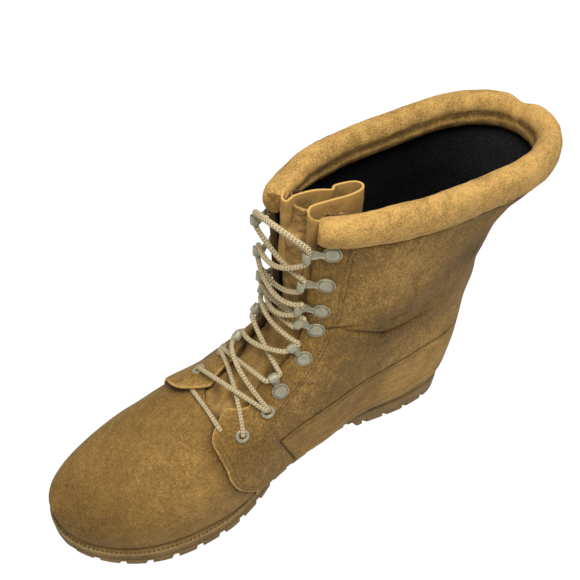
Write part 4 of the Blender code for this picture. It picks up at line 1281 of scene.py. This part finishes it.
class BOOT_OT_tongue(BuildPiece, Operator):
    """Build the tongue with its folded top"""
    bl_idname = "boot.tongue"
    bl_label = "Tongue"

    def execute(self, context):
        across = np.linspace(-1, 1, 61)
        steps = np.linspace(0, 13, 110)
        outer, inner, tone = [], [], []
        for t in steps:
            row, rise, inset, fold = (float(smooth(TONGUE_RUN, "step", name, t))
                                      for name in ("row", "rise", "inset", "fold"))
            for a in across:
                place, normal = self.under(row, a)
                wave = sum(amount * math.exp(-((a - at) / width) ** 2) for at, width, amount in
                           zip(*(TONGUE_FOLDS[name] for name in ("across", "width", "amount"))))
                soft = 0.0022 * wander(a * 3.5, t * 2.6) + 0.0010 * wander(a * 9, t * 6, 4)
                depth = WALL + TONGUE_CLEAR + inset - fold * wave + abs(soft)
                lift = np.array([0, 0, rise + fold * 0.5 * wave * (t > 12)])
                outer.append(place - normal * depth + lift)
                inner.append(place - normal * (depth + TONGUE_THIN) + lift)
                # Tone: random lighter and darker clouds, and painted shade towards the sides, which lie under
                # the flaps.
                tone.append(0.3 * wander(a * 4, t * 2.2, 2) + 0.05 - 0.3 * step((abs(a) - 0.5) / 0.2))
        faces = net(len(steps), len(across))
        made, walls = shell(np.array(outer), np.array(inner), faces)
        if face_normals(made, walls[:len(faces)]).sum(0)[2] < 0:
            walls = walls[:, ::-1]
        c = self.colors
        finish = suede("tongue suede", tuple(c.suede_dark), tuple(c.tongue_color), tuple(c.suede_light),
                       contrast=1.2)
        show("tongue leather", made, walls, finish, "tongue_leather", ["tongue"], np.array(tone * 2), sharp=60)
        self.loop(finish)
        return {"FINISHED"}

    @staticmethod
    def loop(finish):
        """The loop of the tongue's folded side, standing inside the collar."""
        line = smooth_run(np.pad(curve_through(np.array(TONGUE_LOOP) * MM), ((0, 0), (0, 1))))[:, :2]
        ahead = np.gradient(line, axis=0)
        across = unit(np.stack([-ahead[:, 1], ahead[:, 0]], 1))
        outer, inner, tone, rises = [], [], [], np.linspace(0, 1, 26)
        for up in rises:
            for k, (place, way) in enumerate(zip(line, across)):
                soft = 0.0012 * wander(k * 0.07, up * 2.5, 6)
                rim = 0.0020 * wander(k * 0.05, 0, 9) - 0.009 * step((k / len(line) - 0.76) / 0.12)
                z = LOOP_LOW + (LOOP_TOP + rim - LOOP_LOW) * up
                outer.append((*(place + way * soft), z))
                inner.append((*(place + way * (soft + TONGUE_THIN)), z))
                tone.append(0.16 + 0.16 * wander(k * 0.1, up * 3, 2) + 0.25 * step((up - 0.94) / 0.04))
        made, walls = shell(np.array(outer), np.array(inner), net(len(rises), len(line)))
        show("tongue loop", made, walls, finish, "tongue_leather", tone=np.array(tone * 2), sharp=60)

    @staticmethod
    def under(row, a):
        """Place and normal of the upper's own surface at a share of the tongue's half width."""
        if row >= 0:
            place, normal, _ = surface_frame(row, a * TONGUE_LOOK if a else 1e-5)
            return place, normal
        line = toe_section(math.atan2(abs(a), -row), 1 if a >= 0 else -1)
        distances = math.hypot(a, row) * TONGUE_HALF + MM * np.array([-1, 0, 1])
        near, place, far = along_curve(line, distances)[0]
        return place, slope_normal(far - near)


def slope_normal(ahead):
    """The normal over a line that runs straight out across the toe."""
    normal = np.array([-ahead[2] * ahead[0], -ahead[2] * ahead[1], ahead[0] ** 2 + ahead[1] ** 2])
    return normal / np.linalg.norm(normal)


def seats():
    """Every fastener's frame: name, side, place, axis to the throat, axis up the throat and normal."""
    out = {}
    for name, row in FASTENERS:
        for side, word in ((1, "outer"), (-1, "inner")):
            place, normal, toward = surface_frame(row, side * (throat_at(row) + HARDWARE_SETBACK))
            up = np.cross(normal, toward)
            up *= math.copysign(1, up[2])
            out[name, word] = (place + normal * (OVERLAY + HARDWARE_CLEAR), toward, up, normal)
    return out


def placed(points, frame):
    """Points given along the throat axis, the up axis and the normal of a frame."""
    place, toward, up, normal = frame
    return place + points[:, :1] * toward + points[:, 1:2] * up + points[:, 2:3] * normal


def lathe(profile, sides=28):
    """A turned shape: radius and height pairs, from the middle of one face to the middle of the other."""
    return sweep([[(r * math.cos(a), r * math.sin(a), h) for a in full_turn(sides)] for r, h in profile])


def hook_shape():
    """A domed rivet with a pressed arm that rises into a loop open along the throat."""
    dome = lathe([(DISC_RADIUS * r, DISC_THICK * h) for r, h in (
        (0.04, -0.45), (1.0, -0.45), (1.10, 0.1), (1.12, 0.6), (1.05, 0.9), (0.97, 0.85), (0.92, 0.2),
        (0.87, 0.2), (0.83, 1.0), (0.70, 1.2), (0.35, 1.28), (0.04, 1.3))])
    radius = LOOP_RADIUS + ARM_THICK / 2
    arm = [(x, ARM_SINK + ARM_THICK / 2) for x in np.linspace(0.0042, HOOK_REACH, 9)]
    arm += [(HOOK_REACH + radius * math.cos(t), ARM_SINK + ARM_THICK / 2 + radius * (1 + math.sin(t)))
            for t in np.radians(np.linspace(-80, 110, 17))]
    arm = np.array(arm)
    ahead = unit(np.gradient(arm, axis=0))
    loops = []
    for k, ((x, z), (ax, az)) in enumerate(zip(arm, ahead)):
        part = k / (len(arm) - 1)
        spread = step((x - 0.006) / 0.005) if k < 12 else 1.0
        wide = ARM_NARROW + (LOOP_LENGTH / 2 - ARM_NARROW) * spread
        wide *= 1 - 0.25 * step((part - 0.8) / 0.2)
        loop = []
        for turn in full_turn(16):
            c, s = math.cos(turn), math.sin(turn)
            y = wide * squarer(c, 0.35)
            flange = 0.0013 * (abs(y) / wide) ** 4 * (1 - step((part - 0.45) / 0.4))
            h = ARM_THICK / 2 * squarer(s, 0.6) + flange
            loop.append((x - az * h, y, z + ax * h))
        loops.append(loop)
    return merge([dome, sweep(loops)])


def eyelet_shape():
    """A rolled ring."""
    middle, half = (EYELET_RADIUS + EYELET_HOLE) / 2, (EYELET_RADIUS - EYELET_HOLE) / 2
    ring = [(middle + half * math.cos(t), EYELET_THICK * (0.3 + 0.8 * math.sin(t))) for t in full_turn(12)]
    return sweep([[(r * math.cos(a), r * math.sin(a), h) for r, h in ring] for a in full_turn(32)], closed=True)


def painted_metal(color):
    """Matt paint on pressed metal, rubbed and a little dusty."""
    p = Paint("painted metal")
    place = p.place()
    wear, grit = p.noise(place, 260, 4, 0.7), p.noise(place, 1400, 2)
    value = p.math("MULTIPLY_ADD", grit, 0.4, p.math("MULTIPLY", wear, 0.8))
    dark, light = shade(color, 0.55), shade(color, 1.1)
    return p.set(Base_Color=p.ramp(value, [(0.35, dark), (0.68, light)]), Metallic=0.25,
                 Roughness=0.5, Normal=p.bump(grit, 0.0002, 0.4))


class BOOT_OT_hardware(BuildPiece, Operator):
    """Build the lace hooks and the eyelets"""
    bl_idname = "boot.hardware"
    bl_label = "Hooks and eyelets"

    def execute(self, context):
        shapes = {"hook": hook_shape(), "eyelet": eyelet_shape()}
        paint = painted_metal(tuple(self.colors.metal_color))
        for (name, word), frame in seats().items():
            kind, number = name.split("_")
            points, faces = shapes[kind]
            if np.dot(np.cross(frame[1], frame[2]), frame[3]) < 0:
                faces = faces[:, ::-1]
            show(f"{kind} {number}, {word}", placed(points, frame), faces, paint, "khaki_metal",
                 [f"{kind}_{word}_{number}"], sharp=40)
        return {"FINISHED"}


class BOOT_OT_laces(BuildPiece, Operator):
    """Run the lace through the eyelets and hooks"""
    bl_idname = "boot.laces"
    bl_label = "Lace"

    def execute(self, context):
        frames = seats()
        cord = lace_cord(tuple(self.colors.lace_color))
        radius = self.sizes.lace_radius
        first, second = self.course(frames, "outer", "inner", -1), self.course(frames, "inner", "outer", 1)
        names = ["lace_cross_%d" % k for k in range(1, len(FASTENERS))]
        for name, path, nodes in (("lace, under", first, names), ("lace, over", second, ["lace_bar"])):
            made, faces, uv = tube(smooth_run(path, LACE_STEP), radius)
            show(name, made, faces, cord, "lace_cord", nodes, uv=uv, sharp=80)
        for number, rise in ((1, 0.0), (2, 1.0)):
            path = self.top_strand(frames, rise)
            made, faces, uv = tube(smooth_run(path, LACE_STEP), radius * 1.08)
            show(f"lace, top strand {number}", made, faces, cord, "lace_cord", ["lace_top"], uv=uv, sharp=80)
        return {"FINISHED"}

    @staticmethod
    def hold(frames, k, word):
        """Points of the lace inside one fastener, from below to above."""
        name = FASTENERS[k][0]
        place, toward, up, normal = frames[name, word]
        if name.startswith("hook"):
            middle = loop_middle(frames[name, word])
            return [middle + up * way * (LOOP_LENGTH / 2 + extra) for way, extra in
                    ((-1, 0.0018), (-1, -0.001), (1, -0.001), (1, 0.0018))]
        low = place - normal * 0.0012
        return [place + normal * 0.0026 + toward * 0.003 - up * 0.001, low, low + up * 0.0004,
                place + normal * 0.0026 + toward * 0.003 + up * 0.001]

    def course(self, frames, start, other, over):
        """A cord from the bar at the throat's foot, crossing from side to side up to the top hook."""
        sag, lift = self.sizes.lace_sag, over * LACE_RADIUS * 1.15
        path = self.bar(start) if over > 0 else []
        words = [start, other]
        place, toward, up, normal = frames[FASTENERS[0][0], start]
        path += [place - normal * 0.003 - up * 0.003, place - normal * 0.0005,
                 place + normal * 0.0022 + toward * 0.001]
        last = path[-1]
        for k in range(1, len(FASTENERS)):
            points = self.hold(frames, k, words[k % 2])
            crest, normal, _ = surface_frame(max((FASTENERS[k - 1][1] + FASTENERS[k][1]) / 2, 0), 1e-5)
            top = crest + normal * (LACE_LIFT + lift)
            _, _, up, _ = frames[FASTENERS[k][0], words[k % 2]]
            top = top - up * sag * (1.0 if over > 0 else 0.35)
            t = np.linspace(0, 1, 16)[1:-1, None]
            arc = last * (1 - t) + points[0] * t + (top - (last + points[0]) / 2) * np.sin(math.pi * t) ** 0.8
            path += list(arc) + points
            last = points[-1]
        return np.array(path)

    @staticmethod
    def bar(start):
        """The bar across the vamp, from under one flap to the other."""
        out = []
        for angle in np.radians(np.linspace(46, -46, 15) * (1 if start == "inner" else -1)):
            line = toe_section(abs(angle), 1 if angle >= 0 else -1)
            distance = (THROAT_HALF * SECTIONS["throat"][0] + LACE_RADIUS) / math.cos(angle)
            here, beyond = along_curve(line, [distance, distance + 0.001])[0]
            lift = LACE_RADIUS + LACE_CLEAR - 0.0030 * float(step((abs(angle) - 0.57) / 0.12))
            out.append(here + slope_normal(beyond - here) * lift)
        return out

    @staticmethod
    def top_strand(frames, rise):
        """One of the two slack strands between the top hooks."""
        outer, inner = (frames[FASTENERS[-1][0], word] for word in ("outer", "inner"))
        above = 0.005 + 0.001 * rise
        begin, end = (loop_middle(frame) + frame[2] * above for frame in (outer, inner))
        crest, normal, _ = surface_frame(TOP_ROW - 0.2, 1e-5)
        up = (outer[2] + inner[2]) / 2
        top = crest + normal * (LACE_LIFT + 0.003 * rise) + up * (0.013 + 0.0045 * rise)
        arc = [begin * (1 - t) + end * t + (top - (begin + end) / 2) * math.sin(math.pi * t) ** 0.8
               for t in np.linspace(0, 1, 26)]
        return np.array([loop_middle(outer)] + arc + [loop_middle(inner)])


def loop_middle(frame):
    """The middle of a hook's loop."""
    place, toward, _, normal = frame
    return place + toward * HOOK_REACH + normal * (ARM_SINK + ARM_THICK + LOOP_RADIUS)


def lace_cord(color):
    """Braided cord: slanting yarns that meet in a herringbone, with painted shade in the lines between them."""
    p = Paint("braided lace")
    uv = p.add("UVMap", uv_map="run").outputs[0]
    split_uv = p.add("SeparateXYZ", uv)
    along, around = split_uv.outputs[0], split_uv.outputs[1]
    fold = p.math("PINGPONG", p.math("MULTIPLY", around, 2.5), 0.5)
    phase = p.math("MULTIPLY_ADD", fold, 1.1, p.math("MULTIPLY", along, 1 / 0.0021))
    yarn = p.math("MULTIPLY_ADD", p.math("SINE", p.math("MULTIPLY", phase, 2 * math.pi)), 0.5, 0.5)
    dirt = p.noise(p.place(), 120, 3)
    # fold and yarn put painted shade in the grooves between the yarns; the noise is dirt.
    value = p.math("MULTIPLY_ADD", fold, 0.40, p.math("MULTIPLY", dirt, 0.25))
    value = p.math("MULTIPLY_ADD", yarn, 0.50, value)
    dark = shade(color, 0.42)
    normal = p.bump(p.math("ADD", yarn, p.math("MULTIPLY", fold, 0.8)), 0.0005, 0.9)
    return p.set(Base_Color=p.ramp(value, [(0.20, dark), (0.52, color)]), Roughness=0.9,
                 Specular_IOR_Level=0.2, Normal=normal)


def shade(color, share):
    """A darker or lighter tone of a colour."""
    return tuple(min(v * share, 1) for v in color)


def rubber(name, color, dusty=0.5):
    """Dusty rubber, paler in patches."""
    p = Paint(name)
    place = p.place()
    cloud, fine = p.noise(place, 50, 4, 0.65), p.noise(place, 600, 3, 0.7)
    value = p.math("MULTIPLY_ADD", fine, 0.5, p.math("MULTIPLY", cloud, 0.6))
    dark, light = shade(color, 0.45), shade(color, 1 + 0.5 * dusty)
    return p.set(Base_Color=p.ramp(value, [(0.32, dark), (0.72, light)]), Roughness=0.8,
                 Specular_IOR_Level=0.3, Normal=p.bump(fine, 0.0005, 0.6))


def layers(loops):
    """A closed plate through plan loops over each other, its faces bridged across the middle."""
    count = len(loops[0])
    points, faces = sweep(loops)
    faces = faces[(faces < len(loops) * count).all(1)]
    caps = []
    for k in range(1, count // 2):
        a, b, c, d = k, k + 1, count - k - 1, count - k
        caps += [(a, b, c), (a, c, d)] if b != c else [(a, b, d)]
    caps.insert(0, (0, 1, count - 1))
    caps = np.array(caps)
    last = (len(loops) - 1) * count
    points = points[:len(loops) * count]
    flat = face_normals(points, caps)[:, 2].sum() > 0
    low = points[0, 2] < points[last, 2]
    up, down = (caps, caps[:, ::-1]) if flat else (caps[:, ::-1], caps)
    bottom, top = (down, up + last) if low else (up, down + last)
    side = face_normals(points, faces)
    middle = points[faces].mean(1) - points.mean(0)
    if (side[:, :2] * middle[:, :2]).sum() < 0:
        faces = faces[:, ::-1]
    return points, np.concatenate([faces, bottom, top])


class BOOT_OT_sole(BuildPiece, Operator):
    """Build the welt, the midsole, the lugged outsole and the footbed"""
    bl_idname = "boot.sole"
    bl_label = "Sole"

    def execute(self, context):
        color = tuple(self.colors.rubber_color)
        shares = np.linspace(0, 1, 420)
        self.welt(shares, color)
        self.midsole(shares, color)
        self.outsole(shares, color)
        bed = rubber("footbed", tuple(self.colors.lining_color), 0.3)
        low, high = (sole_loop(-WALL - inset, shares, False) for inset in (0.0026, 0.0036))
        made = layers([at_height(low, lambda x: sole_top(x) + GAP),
                       at_height(low, lambda x: sole_top(x) + INSOLE_THICK - 0.001),
                       at_height(high, lambda x: sole_top(x) + INSOLE_THICK)])
        show("footbed", *made, bed, "footbed", ["insole"], sharp=45)
        return {"FINISHED"}

    @staticmethod
    def midsole(shares, color):
        edge = [(-0.0016, 0.0), (-0.0004, 0.18), (0.0, 0.44), (-0.0001, 0.82), (-0.0012, 1.0)]
        made = layers([at_height(sole_loop(out - MIDSOLE_STEP * 0.4, shares),
                                 lambda x, up=up: midsole_low(x) + up * MIDSOLE_THICK) for out, up in edge])
        show("midsole band", *made, rubber("midsole rubber", shade(color, 1.1)), "midsole_rubber", ["midsole"],
             sharp=45)

    @staticmethod
    def welt(shares, color):
        rim = [(0.0, -0.0012), (-0.0004, -0.0004), (-0.0012, 0.0), (-0.0024, -0.0001), (-0.0034, -0.0008),
               (-0.0046, -0.0009), (-0.0058, -0.0001), (-WELT_WIDTH, 0.0), (-WELT_WIDTH, -WELT_THICK),
               (-0.0006, -WELT_THICK), (0.0, -WELT_THICK + 0.0008)]
        rings = [at_height(sole_loop(out, shares), lambda x, h=h: welt_top(x) + h) for out, h in rim]
        made = sweep(np.stack(rings, 1), closed=True)
        finish = rubber("welt rubber", shade(color, 1.15), 0.8)
        show("welt band", *made, finish, "welt_rubber", ["welt"], sharp=50)

    @staticmethod
    def outsole(shares, color):
        side = edge_side(1, 0, np.linspace(0, 1, 100))
        lugs = round(np.linalg.norm(np.diff(side, axis=0), axis=1).sum() / LUG_PITCH)
        phase = np.abs((shares * lugs) % 1 - 0.5) * 2
        groove = step((phase - (1 - LUG_GROOVE * 1.25)) / (LUG_GROOVE * 0.45))
        groove = np.concatenate([groove, groove[-2:0:-1]])[:, None]
        full, deep = sole_loop(0, shares), sole_loop(-LUG_CUT, shares)

        def top(x):
            return midsole_low(x) - GAP

        def lug_top(x):
            return np.minimum(tread(x) + LUG_DEPTH, top(x) - 0.0026)

        def band(inset, depth, height):
            return at_height(sole_loop(-inset, shares) + (deep - full) * groove * depth * 0.45, height)

        made = layers([
            band(0.0009, 1.0, tread),
            band(0.0003, 1.0, lambda x: tread(x) + 0.0010),
            band(0.0003, 1.0, lambda x: lug_top(x) - 0.0008),
            band(0.0003, 0.75, lambda x: lug_top(x) + 0.0004),
            band(0.0002, 0.06, lambda x: lug_top(x) + 0.0012),
            band(0.0000, 0.0, lambda x: np.minimum(lug_top(x) + 0.0018, top(x) - 0.0011)),
            band(0.0000, 0.0, lambda x: top(x) - 0.0009),
            band(0.0010, 0.0, top)])
        show("outsole lugs", *made, rubber("outsole rubber", color), "outsole_rubber", ["outsole"], sharp=40)


class BOOT_OT_seams(BuildPiece, Operator):
    """Sew the seams and mark the welt"""
    bl_idname = "boot.seams"
    bl_label = "Stitches"

    def execute(self, context):
        p = Paint("sewing thread")
        fine = p.noise(p.place(), 1500, 2)
        color = tuple(self.colors.thread_color)
        thread = p.set(Base_Color=p.ramp(fine, [(0.3, shade(color, 0.5)), (0.7, color)]), Roughness=0.85)
        s = self.sizes
        sewn = dict(Pitch=s.stitch_pitch, Length=s.stitch_length, Radius=s.thread_radius)
        over = OVERLAY + s.thread_radius * 0.4
        paths = []
        for side in (1, -1):
            rows = np.concatenate([np.linspace(-0.3, 4, 50), np.linspace(6.2, 11.9, 50)])
            for distance in THROAT_STITCHES:
                paths.append(smooth_run(leg_line(side, rows, distance, over)[0]))
            for inset in FLAP_STITCHES:
                paths.append(self.inside(side_line(FLAP_FRONT), side, inset, over))
            line = curve_through(side_line(LOW_SEAM)[1:-2]) - np.array([0.0, SEAM_STITCHES])
            paths.append(smooth_run(skin_frame(line, side, over)[0]))
        stitches("upper seams", paths, thread, "suede_panel", **sewn)
        ticks = []
        for side in (1, -1):
            run = edge_side(side, -0.0016, np.linspace(0.0, 1, 300))
            ticks.append(np.stack([run[:, 0], run[:, 1], welt_top(run[:, 0]) + 0.0001], 1))
        stitches("welt stitching", ticks, thread, "welt_rubber", Pitch=s.tick_pitch, Length=s.tick_pitch * 0.8,
                 Radius=s.thread_radius * 2.4)
        return {"FINISHED"}

    @staticmethod
    def inside(line, side, inset, lift):
        """A side view line moved back from a panel's front edge and laid on the skin."""
        line = curve_through(line)
        ahead = np.gradient(line, axis=0)
        out = unit(np.stack([ahead[:, 1], -ahead[:, 0]], 1))
        moved = line + out * inset * math.copysign(1, -out[:, 0].mean())
        low, high = FLAP_STITCH_HEIGHTS
        moved = moved[(moved[:, 1] > low) & (moved[:, 1] < high)]
        return smooth_run(skin_frame(moved, side, lift)[0])


class BOOT_OT_stage(BuildPiece, Operator):
    """Set the white stage, the soft light and the camera"""
    bl_idname = "boot.stage"
    bl_label = "Stage and camera"

    def execute(self, context):
        scene = context.scene
        scene.view_settings.view_transform = "Standard"
        world = bpy.data.worlds.new("plain white")
        scene.world = world
        world.use_nodes = True
        background = world.node_tree.nodes["Background"]
        background.inputs[0].default_value = (1, 1, 1, 1)
        background.inputs[1].default_value = WORLD_LIGHT
        floor_mesh = bpy.data.meshes.new("floor")
        corners = [(-1, -1), (1, -1), (1, 1), (-1, 1)]
        floor_mesh.from_pydata([(x * FLOOR_HALF, y * FLOOR_HALF, -FLOOR_DROP) for x, y in corners], [],
                               [(0, 1, 2, 3)])
        white = Paint("white floor")
        white.set(Base_Color=(0.12, 0.12, 0.12, 1), Roughness=1.0, Specular_IOR_Level=0.0)
        floor_mesh.materials.append(white.set(Emission_Color=(1, 1, 1, 1), Emission_Strength=FLOOR_GLOW))
        lights = [add_object("floor", floor_mesh)]
        for name, place, size, power in LIGHTS:
            data = bpy.data.lights.new(name, "AREA")
            data.shape, data.size, data.energy = "DISK", size, power
            lamp = add_object(name, data)
            lamp.location = place
            lamp.rotation_euler = (Vector(LIGHT_AIM) - Vector(place)).to_track_quat("-Z", "Y").to_euler()
            lights.append(lamp)
        data = bpy.data.cameras.new("camera")
        data.lens, data.sensor_width = CAMERA_LENS, 36.0
        camera = add_object("camera", data)
        azimuth, height, roll = (math.radians(v) for v in CAMERA_ANGLES)
        flat = math.cos(height)
        back = Vector((math.sin(azimuth) * flat, -math.cos(azimuth) * flat, math.sin(height)))
        right = (-back).cross(Vector((0, 0, 1))).normalized()
        up = right.cross(-back)
        level = right * math.cos(roll) + up * math.sin(roll), up * math.cos(roll) - right * math.sin(roll)
        camera.matrix_world = Matrix((level[0], level[1], back)).transposed().to_4x4()
        camera.location = CAMERA_PLACE
        scene.camera = camera
        return {"FINISHED"}


class BOOT_PT_looks(Panel):
    """Sizes, colours and pieces of the boot"""
    bl_idname = "BOOT_PT_looks"
    bl_label = "Combat Boot"
    bl_space_type = "VIEW_3D"
    bl_region_type = "UI"
    bl_category = "Combat Boot"

    def draw(self, context):
        layout = self.layout
        for group in (context.scene.boot_sizes, context.scene.boot_colors):
            box = layout.box()
            for name in group.bl_rna.properties.keys():
                if name not in ("rna_type", "name"):
                    box.prop(group, name)
        for operator in OPERATORS:
            layout.operator(operator.bl_idname)


OPERATORS = (BOOT_OT_upper, BOOT_OT_panels, BOOT_OT_collar, BOOT_OT_tongue, BOOT_OT_hardware, BOOT_OT_laces,
             BOOT_OT_sole, BOOT_OT_seams, BOOT_OT_stage)
CLASSES = (BootSizes, BootColors) + OPERATORS + (BOOT_PT_looks,)


def register():
    for made in CLASSES:
        bpy.utils.register_class(made)
    bpy.types.Scene.boot_sizes = PointerProperty(type=BootSizes)
    bpy.types.Scene.boot_colors = PointerProperty(type=BootColors)


def unregister():
    del bpy.types.Scene.boot_sizes, bpy.types.Scene.boot_colors
    for made in reversed(CLASSES):
        bpy.utils.unregister_class(made)


def main():
    register()
    for operator in OPERATORS:
        group, name = operator.bl_idname.split(".")
        getattr(getattr(bpy.ops, group), name)()


if __name__ == "__main__":
    main()
